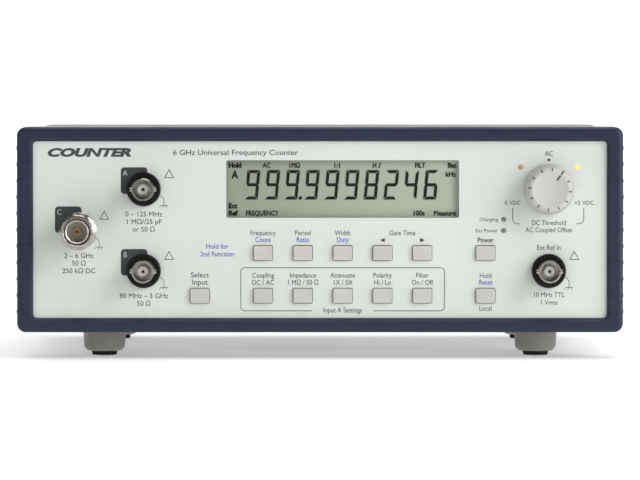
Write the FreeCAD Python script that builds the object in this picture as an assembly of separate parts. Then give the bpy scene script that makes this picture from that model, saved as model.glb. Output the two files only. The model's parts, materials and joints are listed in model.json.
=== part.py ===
import FreeCAD, Part
import math
import os

# Bench frequency counter in a half-rack case, in millimetres.
# +X is right as seen from the front, +Y runs back into the case, +Z is up.
# The origin is on the bench, below the middle of the whole object.

V = FreeCAD.Vector

# ---------------------------------------------------------------- driving sizes
CASE_W = 260.0          # widest point of the end frames
CASE_H = 88.4
CASE_DEPTH = 220.0      # outer face to outer face of the end frames
SOCKET_REACH = 15.0     # how far the longest socket stands out past the front frame
BENCH_GAP = 11.0        # bench to the underside of the end frames
RIB_PROUD = 0.4         # the frames' grip ribs stand this far out of their faces

FRONT = -(CASE_DEPTH + RIB_PROUD + SOCKET_REACH) / 2 + SOCKET_REACH
BACK = FRONT + CASE_DEPTH
MID_Z = BENCH_GAP + CASE_H / 2

# end frames
FRAME_DEPTH = 24.0
FRAME_FLARE = 0.2       # each side grows by this from the outer face to the skirt
FRAME_CORNER = 4.0
FRAME_ROUND = 2.2       # rounding between the outer face and the sides
OPENING_W = 245.7
OPENING_H = 75.7
OPENING_CORNER = 1.7
OPENING_BEVEL = 1.3     # width of the sloped edge round the opening
OPENING_BEVEL_DEPTH = 1.5
LIP = 2.5               # outer face of the frame to the face of the panel
PANEL_POCKET = 8.5      # outer face of the frame to the end of the panel pocket
RIB_COUNT = 11
RIB_PITCH = 7.0
RIB_H = 1.9
RIB_LENGTH = 20.0
RIB_INNER_X = 124.4

# covers
WALL = 2.0
COVER_INSET = 1.6       # the covers lie this far inside the frames' outline
COVER_W = CASE_W - 2 * COVER_INSET
COVER_H = CASE_H - 2 * COVER_INSET
COVER_CORNER = 2.6
COVER_FRONT = FRONT + PANEL_POCKET + 0.2
COVER_BACK = BACK - PANEL_POCKET - 0.2
COVER_BOTTOM = MID_Z - COVER_H / 2
COVER_TOP = MID_Z + COVER_H / 2
INSIDE_BOTTOM = COVER_BOTTOM + WALL
INSIDE_TOP = COVER_TOP - WALL
INSIDE_X = COVER_W / 2 - WALL
PILLARS = [(x, y) for x in (-115.0, 115.0) for y in (-70.0, 84.0)]
PILLAR_R = 4.5

# panels
PANEL_W = 249.8
PANEL_H = 79.5
PANEL_CORNER = 3.0
FACE = FRONT + LIP      # visible face of the front panel
OVERLAY_T = 0.5
PANEL_T = 2.0
PANEL_FRONT = FACE + OVERLAY_T
PANEL_BACK = PANEL_FRONT + PANEL_T
RIM_W = 2.2
REAR_FACE = BACK - LIP
REAR_PANEL_T = 2.5
REAR_CORNERS = [(x, z) for x in (-118.0, 118.0) for z in (MID_Z - 33.0, MID_Z + 33.0)]

# front panel layout, heights measured from the middle of the case
UPPER_Z = MID_Z + 17.3
LOWER_Z = MID_Z - 17.7
LEFT_SOCKETS_X = -75.5
N_SOCKET_X = -103.3
N_SOCKET_Z = MID_Z - 0.5
RIGHT_X = 98.0          # knob and reference socket
DISPLAY_X = 9.7
DISPLAY_Z = UPPER_Z + 0.1
DISPLAY_W = 99.7
DISPLAY_H = 24.7
KEY_PITCH = 17.05
KEY_UPPER_Z = MID_Z - 10.0
KEY_LOWER_Z = MID_Z - 28.3
KEY_W = 8.1
KEY_H = 6.2
KEY_CORNER = 0.45
KEY_PROUD = 1.5
KEY_GAP = 0.25          # clearance round a key in its hole
KEY_TRAVEL = 0.5
STATUS_LED_X = 78.7
STATUS_LED_Z = (MID_Z + 4.4, MID_Z - 0.4)
TRIGGER_LED_X = (85.9, 110.1)
TRIGGER_LED_Z = MID_Z + 26.8
LED_R = 1.0

KEYS = {
    "button_select_input": (-51.5, KEY_LOWER_Z),
    "button_frequency": (DISPLAY_X - 2 * KEY_PITCH, KEY_UPPER_Z),
    "button_period": (DISPLAY_X - KEY_PITCH, KEY_UPPER_Z),
    "button_width": (DISPLAY_X, KEY_UPPER_Z),
    "button_gate_time_down": (DISPLAY_X + KEY_PITCH, KEY_UPPER_Z),
    "button_gate_time_up": (DISPLAY_X + 2 * KEY_PITCH, KEY_UPPER_Z),
    "button_power": (70.9, KEY_UPPER_Z),
    "button_coupling": (DISPLAY_X - 2 * KEY_PITCH, KEY_LOWER_Z),
    "button_impedance": (DISPLAY_X - KEY_PITCH, KEY_LOWER_Z),
    "button_attenuate": (DISPLAY_X, KEY_LOWER_Z),
    "button_polarity": (DISPLAY_X + KEY_PITCH, KEY_LOWER_Z),
    "button_filter": (DISPLAY_X + 2 * KEY_PITCH, KEY_LOWER_Z),
    "button_hold": (70.9, KEY_LOWER_Z),
}
BNC_SOCKETS = {
    "bnc_a": (LEFT_SOCKETS_X, UPPER_Z),
    "bnc_b": (LEFT_SOCKETS_X, LOWER_Z),
    "bnc_reference": (RIGHT_X, LOWER_Z),
}

# boards
DISPLAY_BOARD_Y = FRONT + 14.5      # its front face
BOARD_T = 1.6
MAIN_BOARD_Z = INSIDE_BOTTOM + 7.8  # its underside
MAIN_TOP = MAIN_BOARD_Z + BOARD_T
MAIN_BOARD_X = 104.0
MAIN_BOARD_Y = (-80.0, REAR_FACE - 4.0)
BOARD_POSTS = [(x, y) for x in (-98.0, 98.0) for y in (-40.0, 62.0)]
DISPLAY_POSTS = [(-56.0, MID_Z + 31.0), (72.0, MID_Z + 31.0), (-38.0, MID_Z - 33.5), (57.5, MID_Z - 33.5)]

# feet
FOOT_X = 93.7
FRONT_FOOT_Y = -68.0
REAR_FOOT_Y = 82.0
FOOT_R = 9.4
FOOT_ROUND = 3.0
TAIL_W = 12.2           # narrow part behind a front foot, which holds the leg
TAIL_LENGTH = 47.0      # foot centre to the end of the tail
TAIL_BOTTOM = 3.0
PAD_R = 5.45
PAD_SHOWS = 1.8         # height of the rubber pad below the foot
PAD_IN = 1.0
LEG_PIN_Y = FRONT_FOOT_Y + 14.5
LEG_PIN_Z = 6.1
LEG_PIN_R = 1.25
LEG_W = 7.0
LEG_LENGTH = 26.0
LEG_KNUCKLE_R = 2.9
SLOT_W = 7.8
SLOT_ROOF = 10.4
LEG_STOP = 0.75         # gap from the knuckle to the slot's front wall, which stops the opened leg

# one size of pan-head screw is used throughout
SCREW_R = 1.5
SCREW_LENGTH = 8.0
HEAD_R = 2.8
HEAD_H = 2.2

# rear panel
REAR_VENT_X = -92.0     # first of the upright slots
RATING_X = 45.0         # shallow recess for a rating plate
RATING_Z = MID_Z + 8
RATING_W = 70.0
RATING_H = 26.0
RATING_DEPTH = 0.5
USB_X = 62.0
JACK_X = 86.0
JACK_Z = MAIN_TOP + 6.0


# ---------------------------------------------------------------- shape helpers
def box(x0, x1, y0, y1, z0, z1):
    return Part.makeBox(x1 - x0, y1 - y0, z1 - z0, V(x0, y0, z0))


def rod(radius, y0, y1, x, z):
    """Cylinder along Y."""
    return Part.makeCylinder(radius, y1 - y0, V(x, y0, z), V(0, 1, 0))


def post(radius, z0, z1, x, y):
    """Cylinder along Z."""
    return Part.makeCylinder(radius, z1 - z0, V(x, y, z0), V(0, 0, 1))


def corner_arc(centre, radius, start, u, v):
    """Quarter circle about centre, from angle start, in the plane of u and v."""
    points = []
    for angle in (start, start + 45.0, start + 90.0):
        a = math.radians(angle)
        points.append(centre + u * (radius * math.cos(a)) + v * (radius * math.sin(a)))
    return Part.Arc(*points).toShape()


def rounded_wire(width, height, radius, centre, u, v):
    """Rounded rectangle, width along u and height along v."""
    dx, dy = width / 2 - radius, height / 2 - radius
    corners = [(dx, dy, 0.0), (-dx, dy, 90.0), (-dx, -dy, 180.0), (dx, -dy, 270.0)]
    arcs = [corner_arc(centre + u * a + v * b, radius, start, u, v) for a, b, start in corners]
    edges = []
    for index, arc in enumerate(arcs):
        following = arcs[(index + 1) % 4]
        edges.append(arc)
        edges.append(Part.makeLine(arc.Vertexes[-1].Point, following.Vertexes[0].Point))
    return Part.Wire(edges)


def outline(width, height, radius, y, x=0.0, z=MID_Z):
    return rounded_wire(width, height, radius, V(x, y, z), V(1, 0, 0), V(0, 0, 1))


def plate(width, height, radius, y0, y1, x=0.0, z=MID_Z):
    """Rounded rectangle facing the front, from y0 to y1."""
    return Part.Face(outline(width, height, radius, y0, x, z)).extrude(V(0, y1 - y0, 0))


def tile(width, depth, radius, z0, z1, x, y):
    """Rounded rectangle lying flat, from z0 to z1."""
    wire = rounded_wire(width, depth, radius, V(x, y, z0), V(1, 0, 0), V(0, 1, 0))
    return Part.Face(wire).extrude(V(0, 0, z1 - z0))


def turned(profile, x, z):
    """Solid of revolution about the line along Y through (x, z). profile is (radius, y) points."""
    points = [V(x + r, y, z) for r, y in profile]
    face = Part.Face(Part.makePolygon(points + points[:1]))
    return face.revolve(V(x, 0, z), V(0, 1, 0), 360)


def hexagon(across_flats, y0, y1, x, z):
    radius = across_flats / math.sqrt(3)
    corners = [V(x + radius * math.cos(a), y0, z + radius * math.sin(a)) for a in
               (math.radians(60 * k) for k in range(7))]
    return Part.Face(Part.makePolygon(corners)).extrude(V(0, y1 - y0, 0))


def fuse(shapes):
    first, rest = shapes[0], shapes[1:]
    return first.multiFuse(rest).removeSplitter() if rest else first


def cut(shape, tools):
    return shape.cut(Part.makeCompound(tools)) if tools else shape


def fillet(shape, radius, wanted):
    """Rounds the edges for which wanted(edge) is true."""
    return shape.makeFillet(radius, [e for e in shape.Edges if wanted(e)])


def at_y(y):
    """Picks edges that lie in the plane of that y."""
    return lambda e: abs(e.BoundBox.YMin - y) < 1e-4 and abs(e.BoundBox.YMax - y) < 1e-4


def at_z(z):
    return lambda e: abs(e.BoundBox.ZMin - z) < 1e-4 and abs(e.BoundBox.ZMax - z) < 1e-4


def flip_x(shape):
    return shape.mirror(V(0, 0, 0), V(1, 0, 0))


def save(name, shapes):
    """Writes one named piece, made of one or more separate solids."""
    shapes = shapes if isinstance(shapes, list) else [shapes]
    solids = [s for shape in shapes for s in shape.Solids]
    bad = [s for s in solids if not s.isValid() or s.Volume <= 0]
    if bad or not solids:
        raise ValueError(f"{name}: {len(bad)} of {len(solids)} solids are bad")
    shape = solids[0] if len(solids) == 1 else Part.makeCompound(solids)
    shape.exportStep(f"parts/{name}.step")
    print(f"{name:26s} {len(solids):3d} solid(s) {shape.Volume / 1000:9.3f} cm3")


def screw(head_under, direction):
    """Pan-head screw with a cross recess. direction runs from the head to the tip."""
    shank = Part.makeCylinder(SCREW_R, SCREW_LENGTH, head_under, direction)
    head = Part.makeCylinder(HEAD_R, HEAD_H, head_under - direction * HEAD_H, direction)
    top = head_under - direction * HEAD_H
    far = [e for e in head.Edges if len(e.Vertexes) == 1 and (e.CenterOfMass - top).Length < 1e-4]
    head = head.makeFillet(1.1, far)
    side = V(0, 0, 1) if abs(direction.z) < 0.5 else V(1, 0, 0)
    other = direction.cross(side)
    slots = [recess_bar(top, direction, a, b) for a, b in ((side, other), (other, side))]
    return head.fuse(shank).cut(Part.makeCompound(slots))


def recess_bar(top, direction, along, across):
    """One bar of the cross recess in a screw head."""
    length, width, depth = 3.0, 0.7, 1.3
    start = top - along * (length / 2) - across * (width / 2) - direction * 0.1
    corners = [start, start + along * length, start + along * length + across * width,
               start + across * width, start]
    return Part.Face(Part.makePolygon(corners)).extrude(direction * depth)


# ---------------------------------------------------------------- end frames
def frame_rib(z):
    """Grip rib that wraps the frame's right edge. The frame's outer face is at y = 0."""
    outer, bend = CASE_W / 2, FRAME_ROUND + 0.1
    inner, deep = RIB_INNER_X, 3.0
    corner = V(outer - bend, bend - RIB_PROUD, z)
    arc = corner_arc(corner, bend, 270.0, V(1, 0, 0), V(0, 1, 0))
    path = [V(inner, 0.6, z), V(inner, -RIB_PROUD, z)]
    end = [V(outer, RIB_LENGTH, z), V(outer - deep, RIB_LENGTH, z), V(outer - deep, 0.6, z), path[0]]
    edges = [Part.makeLine(path[0], path[1]), Part.makeLine(path[1], arc.Vertexes[0].Point), arc]
    points = [arc.Vertexes[-1].Point] + end
    edges += [Part.makeLine(a, b) for a, b in zip(points, points[1:])]
    bar = Part.Face(Part.Wire(edges)).extrude(V(0, 0, RIB_H))

    def outer_contour(e):
        c = e.CenterOfMass
        flat = abs(e.BoundBox.ZMax - e.BoundBox.ZMin) < 1e-4
        return flat and (c.y < -0.1 or c.x > outer - 1.2)

    return fillet(bar, 0.3, outer_contour)


def end_frame():
    """Frame with its outer face at y = 0 and its skirt at y = FRAME_DEPTH."""
    narrow = outline(CASE_W - 2 * FRAME_FLARE, CASE_H - 2 * FRAME_FLARE, FRAME_CORNER - FRAME_FLARE, 0.0)
    wide = outline(CASE_W, CASE_H, FRAME_CORNER, FRAME_DEPTH)
    body = fillet(Part.makeLoft([narrow, wide], True, True), FRAME_ROUND, at_y(0.0))
    bevel = Part.makeLoft([
        outline(OPENING_W + 2 * OPENING_BEVEL, OPENING_H + 2 * OPENING_BEVEL,
                OPENING_CORNER + OPENING_BEVEL, -0.001),
        outline(OPENING_W, OPENING_H, OPENING_CORNER, OPENING_BEVEL_DEPTH)], True, True)
    window = plate(OPENING_W, OPENING_H, OPENING_CORNER, 0.0, LIP + 0.1)
    panel_pocket = plate(PANEL_W + 0.4, PANEL_H + 0.4, PANEL_CORNER + 0.2, LIP, PANEL_POCKET + 0.1)
    cover_pocket = plate(COVER_W + 0.2, COVER_H + 0.2, COVER_CORNER + 0.1, PANEL_POCKET, FRAME_DEPTH + 1)
    first = MID_Z - RIB_PITCH * (RIB_COUNT - 1) / 2 - RIB_H / 2
    ribs = [frame_rib(first + RIB_PITCH * k) for k in range(RIB_COUNT)]
    body = body.multiFuse(ribs + [flip_x(rib) for rib in ribs])
    return cut(body, [bevel, window, panel_pocket, cover_pocket])


def end_frames():
    frame = end_frame()
    front = frame.translated(V(0, FRONT, 0))
    rear = frame.mirror(V(0, 0, 0), V(0, 1, 0)).translated(V(0, BACK, 0))
    save("front_bezel", front)
    save("rear_bezel", rear)


# ---------------------------------------------------------------- covers
def cover_tube():
    outer = plate(COVER_W, COVER_H, COVER_CORNER, COVER_FRONT, COVER_BACK)
    inner = plate(COVER_W - 2 * WALL, COVER_H - 2 * WALL, COVER_CORNER - WALL, COVER_FRONT - 1, COVER_BACK + 1)
    return outer.cut(inner)


def half_space(z0, z1):
    return box(-CASE_W, CASE_W, FRONT - 50, BACK + 50, z0, z1)


def seam_groove():
    """Shallow groove along both sides, where the two covers meet."""
    depth, height = 0.5, 0.9
    x = COVER_W / 2
    right = box(x - depth, x + 1, COVER_FRONT - 1, COVER_BACK + 1, MID_Z - height / 2, MID_Z + height / 2)
    return [right, flip_x(right)]


def vent_row(count, pitch, width, length, y, z0, z1):
    """Slots side by side across the case, long way along Y."""
    start = -pitch * (count - 1) / 2
    return [tile(width, length, width / 2 - 0.01, z0, z1, start + pitch * k, y) for k in range(count)]


def side_vents():
    """Upright slots through both side walls of the top cover."""
    count, pitch, width, height = 9, 5.6, 2.4, 20.0
    first = 34.0
    slots = [box(-CASE_W, CASE_W, first + pitch * k, first + pitch * k + width, MID_Z + 9, MID_Z + 9 + height)
             for k in range(count)]
    return slots


def rear_bosses(top):
    """Blocks in the two corners that take the rear panel's screws."""
    side = 1 if top else -1
    wall_z = INSIDE_TOP if top else INSIDE_BOTTOM
    blocks = []
    for x, z in REAR_CORNERS:
        if (z > MID_Z) != top:
            continue
        out = math.copysign(1, x)
        reach = sorted((x - out * 4.2, out * (INSIDE_X + 0.2)))
        height = sorted((z - side * 4.2, wall_z + side * 0.2))
        blocks.append(box(*reach, COVER_BACK - 14, COVER_BACK, *height))
        nose = sorted((x - out * 4.2, x + out * 4.2))
        tall = sorted((z - side * 4.2, z + side * 3.4))
        blocks.append(box(*nose, COVER_BACK - 14, REAR_FACE - REAR_PANEL_T, *tall))
    return blocks


def rear_boss_holes():
    return [rod(SCREW_R, COVER_BACK - 12, BACK, x, z) for x, z in REAR_CORNERS]


def top_cover():
    shell = cover_tube().common(half_space(MID_Z, COVER_TOP + 1))
    posts = [post(PILLAR_R, MID_Z, INSIDE_TOP + 0.2, x, y) for x, y in PILLARS]
    shell = fuse([shell] + posts + rear_bosses(True))
    holes = [post(SCREW_R, MID_Z - 1, MID_Z + 8, x, y) for x, y in PILLARS]
    vents = vent_row(15, 8.0, 2.6, 30.0, 66.0, COVER_TOP - WALL - 1, COVER_TOP + 1)
    save("top_cover", cut(shell, holes + vents + side_vents() + seam_groove() + rear_boss_holes()))


def seam_tongue():
    """Lip inside each side wall that locates the top cover."""
    clearance, thickness = 0.1, 1.1
    x = INSIDE_X
    low = box(x - thickness, x + 0.1, COVER_FRONT, COVER_BACK - 15, MID_Z - 4, MID_Z)
    high = box(x - thickness, x - clearance, COVER_FRONT, COVER_BACK - 15, MID_Z, MID_Z + 3)
    right = low.fuse(high)
    return [right, flip_x(right)]


def foot_positions():
    return [(x, y) for x in (-FOOT_X, FOOT_X) for y in (FRONT_FOOT_Y, REAR_FOOT_Y)]


def foot_screw_under():
    """Height of the underside of a foot screw's head."""
    return COVER_BOTTOM - 4.0


def bottom_cover():
    shell = cover_tube().common(half_space(COVER_BOTTOM - 1, MID_Z))
    posts = [post(PILLAR_R, INSIDE_BOTTOM - 0.2, MID_Z, x, y) for x, y in PILLARS]
    posts += [post(3.6, INSIDE_BOTTOM - 0.2, MAIN_BOARD_Z, x, y) for x, y in BOARD_POSTS]
    posts += [post(4.2, INSIDE_BOTTOM - 0.2, INSIDE_BOTTOM + 5, x, y) for x, y in foot_positions()]
    shell = fuse([shell] + seam_tongue() + posts + rear_bosses(False))
    holes = []
    for x, y in PILLARS:
        holes.append(post(HEAD_R + 0.3, COVER_BOTTOM - 1, MID_Z - 4, x, y))
        holes.append(post(SCREW_R + 0.1, MID_Z - 5, MID_Z + 1, x, y))
        holes.append(tile(12, 12, 3, MID_Z, MID_Z + 4, x, y))
    holes += [post(SCREW_R, MAIN_TOP - SCREW_LENGTH - 0.5, MAIN_TOP, x, y) for x, y in BOARD_POSTS]
    holes += [post(SCREW_R, COVER_BOTTOM - 1, foot_screw_under() + SCREW_LENGTH + 0.5, x, y)
              for x, y in foot_positions()]
    vents = vent_row(11, 8.0, 2.6, 30.0, -10.0, COVER_BOTTOM - 1, INSIDE_BOTTOM + 1)
    save("bottom_cover", cut(shell, holes + vents + seam_groove() + rear_boss_holes()))


# ---------------------------------------------------------------- panels
def key_hole(x, z, y0, y1):
    return plate(KEY_W + 2 * KEY_GAP, KEY_H + 2 * KEY_GAP, KEY_CORNER + KEY_GAP, y0, y1, x, z)


def led_positions():
    status = [(STATUS_LED_X, z) for z in STATUS_LED_Z]
    trigger = [(x, TRIGGER_LED_Z) for x in TRIGGER_LED_X]
    return status, trigger


def panel_holes(y0, y1):
    """Every hole that goes through both the overlay and the panel moulding."""
    status, trigger = led_positions()
    holes = [key_hole(x, z, y0, y1) for x, z in KEYS.values()]
    holes += [rod(6.3, y0, y1, x, z) for x, z in BNC_SOCKETS.values()]
    holes.append(rod(6.4, y0, y1, N_SOCKET_X, N_SOCKET_Z))
    holes.append(rod(3.6, y0, y1, RIGHT_X, UPPER_Z))
    holes += [rod(LED_R + 0.08, y0, y1, x, z) for x, z in status + trigger]
    return holes


def panel_overlay():
    sheet = plate(PANEL_W, PANEL_H, PANEL_CORNER, FACE, PANEL_FRONT)
    aperture = plate(DISPLAY_W, DISPLAY_H, 1.0, FACE - 1, PANEL_FRONT + 1, DISPLAY_X, DISPLAY_Z)
    save("panel_overlay", cut(sheet, panel_holes(FACE - 1, PANEL_FRONT + 1) + [aperture]))


def front_panel():
    sheet = plate(PANEL_W, PANEL_H, PANEL_CORNER, PANEL_FRONT, PANEL_BACK)
    rim_outer = plate(PANEL_W, PANEL_H, PANEL_CORNER, PANEL_FRONT, FRONT + PANEL_POCKET)
    rim_inner = plate(PANEL_W - 2 * RIM_W, PANEL_H - 2 * RIM_W, 1.0, PANEL_BACK, FRONT + PANEL_POCKET + 1)
    posts = [rod(3.0, PANEL_BACK - 0.2, DISPLAY_BOARD_Y, x, z) for x, z in DISPLAY_POSTS]
    body = fuse([sheet, rim_outer.cut(rim_inner)] + posts)
    rebate = plate(DISPLAY_W + 4, DISPLAY_H + 4, 1.5, PANEL_FRONT - 1, PANEL_FRONT + 1, DISPLAY_X, DISPLAY_Z)
    aperture = plate(DISPLAY_W + 1.6, DISPLAY_H + 1.6, 1.2, PANEL_FRONT, PANEL_BACK + 1, DISPLAY_X, DISPLAY_Z)
    holes = panel_holes(PANEL_FRONT - 1, PANEL_BACK + 1)
    holes += [rod(SCREW_R, DISPLAY_BOARD_Y + BOARD_T - SCREW_LENGTH - 0.4, DISPLAY_BOARD_Y + 1, x, z)
              for x, z in DISPLAY_POSTS]
    save("front_panel", cut(body, holes + [rebate, aperture]))


def display_window():
    lens = plate(DISPLAY_W + 3.7, DISPLAY_H + 3.7, 1.4, PANEL_FRONT, PANEL_FRONT + 1.0, DISPLAY_X, DISPLAY_Z)
    save("display_window", lens)


def rear_panel():
    inner_face = REAR_FACE - REAR_PANEL_T
    sheet = plate(PANEL_W, PANEL_H, PANEL_CORNER, inner_face, REAR_FACE)
    rim_outer = plate(PANEL_W, PANEL_H, PANEL_CORNER, BACK - PANEL_POCKET, REAR_FACE)
    rim_inner = plate(PANEL_W - 2 * RIM_W, PANEL_H - 2 * RIM_W, 1.0, BACK - PANEL_POCKET - 1, inner_face)
    body = sheet.fuse(rim_outer.cut(rim_inner)).removeSplitter()
    holes = [rod(SCREW_R + 0.15, inner_face - 1, BACK, x, z) for x, z in REAR_CORNERS]
    holes.append(plate(12.5, 11.4, 0.6, inner_face - 1, BACK, USB_X, MAIN_TOP + 5.6))
    holes.append(rod(4.7, inner_face - 1, BACK, JACK_X, JACK_Z))
    holes += [plate(2.4, 24.0, 1.19, inner_face - 1, BACK, REAR_VENT_X + 6.4 * k, RATING_Z) for k in range(12)]
    holes.append(plate(RATING_W, RATING_H, 1.5, REAR_FACE - RATING_DEPTH, BACK, RATING_X, RATING_Z))
    save("rear_panel", cut(body, holes))


# ---------------------------------------------------------------- keys
SWITCH_FLOOR = DISPLAY_BOARD_Y - 1.6     # floor of the bore that the key's stem works in


def key_cap(x, z):
    """Key cap with its retaining flange and the stem that works the switch."""
    front = FACE - KEY_PROUD
    flange_y = PANEL_BACK + 0.1
    cap = fillet(plate(KEY_W, KEY_H, KEY_CORNER, front, flange_y + 0.5, x, z), 0.3, at_y(front))
    flange = plate(KEY_W + 1.6, KEY_H + 1.6, 1.0, flange_y, flange_y + 0.8, x, z)
    stem = rod(1.6, flange_y + 0.5, SWITCH_FLOOR - 2 * KEY_TRAVEL, x, z)
    return fuse([cap, flange, stem])


def tact_switch(x, z):
    """Switch body on the display board, with the bore that its actuator stem works in."""
    body = plate(6.0, 6.0, 0.4, DISPLAY_BOARD_Y - 3.5, DISPLAY_BOARD_Y, x, z)
    return body.cut(rod(1.75, DISPLAY_BOARD_Y - 4, SWITCH_FLOOR, x, z))


def keys():
    for name, (x, z) in KEYS.items():
        save(name, key_cap(x, z))
    save("tact_switches", [tact_switch(x, z) for x, z in KEYS.values()])


# ---------------------------------------------------------------- threshold control
def knob():
    base_r, top_r, dish_r = 10.8, 9.75, 7.9
    back = FACE - 0.7
    shoulder, crown = FACE - 12.6, FACE - 14.0
    dish_depth = 1.0
    bore_end = FACE - 11.4
    body = turned([(3.02, back - 3.4), (7.2, back - 3.4), (7.2, back), (base_r, back), (top_r, shoulder),
                   (dish_r, crown), (0, crown), (0, bore_end), (3.02, bore_end)], RIGHT_X, UPPER_Z)
    sphere_r = (dish_r ** 2 + dish_depth ** 2) / (2 * dish_depth)
    dish = Part.makeSphere(sphere_r, V(RIGHT_X, crown + dish_depth - sphere_r, UPPER_Z))
    save("threshold_knob", body.cut(dish))


def potentiometer():
    shaft = rod(3.0, FACE - 11.2, PANEL_BACK + 4.0, RIGHT_X, UPPER_Z)
    save("potentiometer_shaft", shaft)
    case = plate(17.0, 17.0, 1.5, PANEL_BACK, DISPLAY_BOARD_Y - 0.1, RIGHT_X, UPPER_Z)
    bush = rod(3.5, FACE - 2.4, PANEL_BACK + 1, RIGHT_X, UPPER_Z)
    body = case.fuse(bush).cut(rod(3.05, FACE - 5, PANEL_BACK + 4.3, RIGHT_X, UPPER_Z))
    save("potentiometer_body", body)
    nut = hexagon(10.0, FACE - 2.0, FACE, RIGHT_X, UPPER_Z)
    save("potentiometer_nut", nut.cut(rod(3.5, FACE - 3, FACE + 1, RIGHT_X, UPPER_Z)))


# ---------------------------------------------------------------- lamps and display
def led(x, z):
    """Small round lamp with a domed lens, on a spacer that stands on the display board."""
    lens = fillet(rod(LED_R, FACE - 0.5, PANEL_BACK, x, z), 0.6, at_y(FACE - 0.5))
    spacer = rod(1.45, PANEL_BACK + 0.1, DISPLAY_BOARD_Y, x, z)
    return lens.fuse(rod(LED_R, PANEL_BACK - 0.1, PANEL_BACK + 0.2, x, z)).fuse(spacer)


def lamps():
    status, trigger = led_positions()
    save("status_leds", [led(x, z) for x, z in status])
    save("threshold_led_left", led(*trigger[0]))
    save("threshold_led_right", led(*trigger[1]))


def display():
    glass_front, glass_back = PANEL_BACK + 0.1, PANEL_BACK + 2.7
    save("lcd_panel", plate(106.0, 33.0, 0.5, glass_front, glass_back, DISPLAY_X, DISPLAY_Z))
    outer = plate(110.0, 37.0, 1.0, glass_front, DISPLAY_BOARD_Y, DISPLAY_X, DISPLAY_Z)
    seat = plate(106.2, 33.2, 0.6, glass_front - 1, glass_back, DISPLAY_X, DISPLAY_Z)
    hollow = plate(98.0, 25.0, 1.0, glass_back - 1, DISPLAY_BOARD_Y + 1, DISPLAY_X, DISPLAY_Z)
    save("lcd_frame", cut(outer, [seat, hollow]))


# ---------------------------------------------------------------- sockets
BNC_TIP = FACE - 13.4
BNC_R = 4.83
BNC_LUG_REACH = 5.6
BNC_HOUSING_BACK = DISPLAY_BOARD_Y + 2.0


def bnc_shell(x, z):
    plain = BNC_TIP + 3.8
    tube = turned([(4.05, BNC_TIP), (4.6, BNC_TIP), (BNC_R, BNC_TIP + 0.3), (BNC_R, plain), (4.6, plain),
                   (4.6, FACE - 2.0), (4.8, FACE - 2.0), (4.8, BNC_HOUSING_BACK + 2), (2.9, BNC_HOUSING_BACK + 2),
                   (2.9, BNC_TIP + 10), (4.05, BNC_TIP + 10)], x, z)
    lug_y = BNC_TIP + 4.8
    lugs = Part.makeCylinder(0.95, 2 * BNC_LUG_REACH, V(x - BNC_LUG_REACH, lug_y, z), V(1, 0, 0))
    lugs = lugs.cut(rod(4.3, lug_y - 2, lug_y + 2, x, z))
    return tube.fuse(lugs).removeSplitter()


def bnc_housing(x, z):
    """Moulded body behind the panel with a threaded nose that passes through it."""
    block = plate(15.0, 15.0, 0.8, PANEL_BACK, BNC_HOUSING_BACK, x, z)
    nose = rod(6.2, FACE - 2.0, PANEL_BACK + 1, x, z)
    return block.fuse(nose).cut(rod(4.85, FACE - 3, BNC_HOUSING_BACK + 1, x, z))


def bnc_collar(x, z):
    """Round nut that holds the socket to the panel."""
    ring = fillet(rod(7.35, FACE - 2.6, FACE, x, z), 0.5, at_y(FACE - 2.6))
    return cut(ring, [rod(6.2, FACE - 2.05, FACE + 1, x, z), rod(4.95, FACE - 3, FACE, x, z)])


def bnc_insulator(x, z):
    sleeve = rod(2.85, BNC_TIP + 5.0, BNC_HOUSING_BACK + 2, x, z)
    return cut(sleeve, [rod(0.7, BNC_TIP, BNC_TIP + 7, x, z),
                        rod(1.05, BNC_TIP + 6.0, BNC_HOUSING_BACK + 3, x, z)])


def bnc_contact(x, z):
    pin = rod(1.05, BNC_TIP + 6.0, BNC_HOUSING_BACK + 4, x, z)
    return pin.cut(rod(0.7, BNC_TIP, BNC_TIP + 10, x, z))


def bnc_sockets():
    for name, (x, z) in BNC_SOCKETS.items():
        save(f"{name}_shell", bnc_shell(x, z))
    spots = list(BNC_SOCKETS.values())
    save("bnc_collars", [bnc_collar(x, z) for x, z in spots])
    save("bnc_housings", [bnc_housing(x, z) for x, z in spots])
    save("bnc_insulators", [bnc_insulator(x, z) for x, z in spots])
    save("bnc_contacts", [bnc_contact(x, z) for x, z in spots])


N_TIP = FRONT - SOCKET_REACH
N_THREAD_R = 7.94
N_RELIEF_R = 7.3           # plain neck behind the thread
N_BACK = FACE + 14.0


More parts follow.
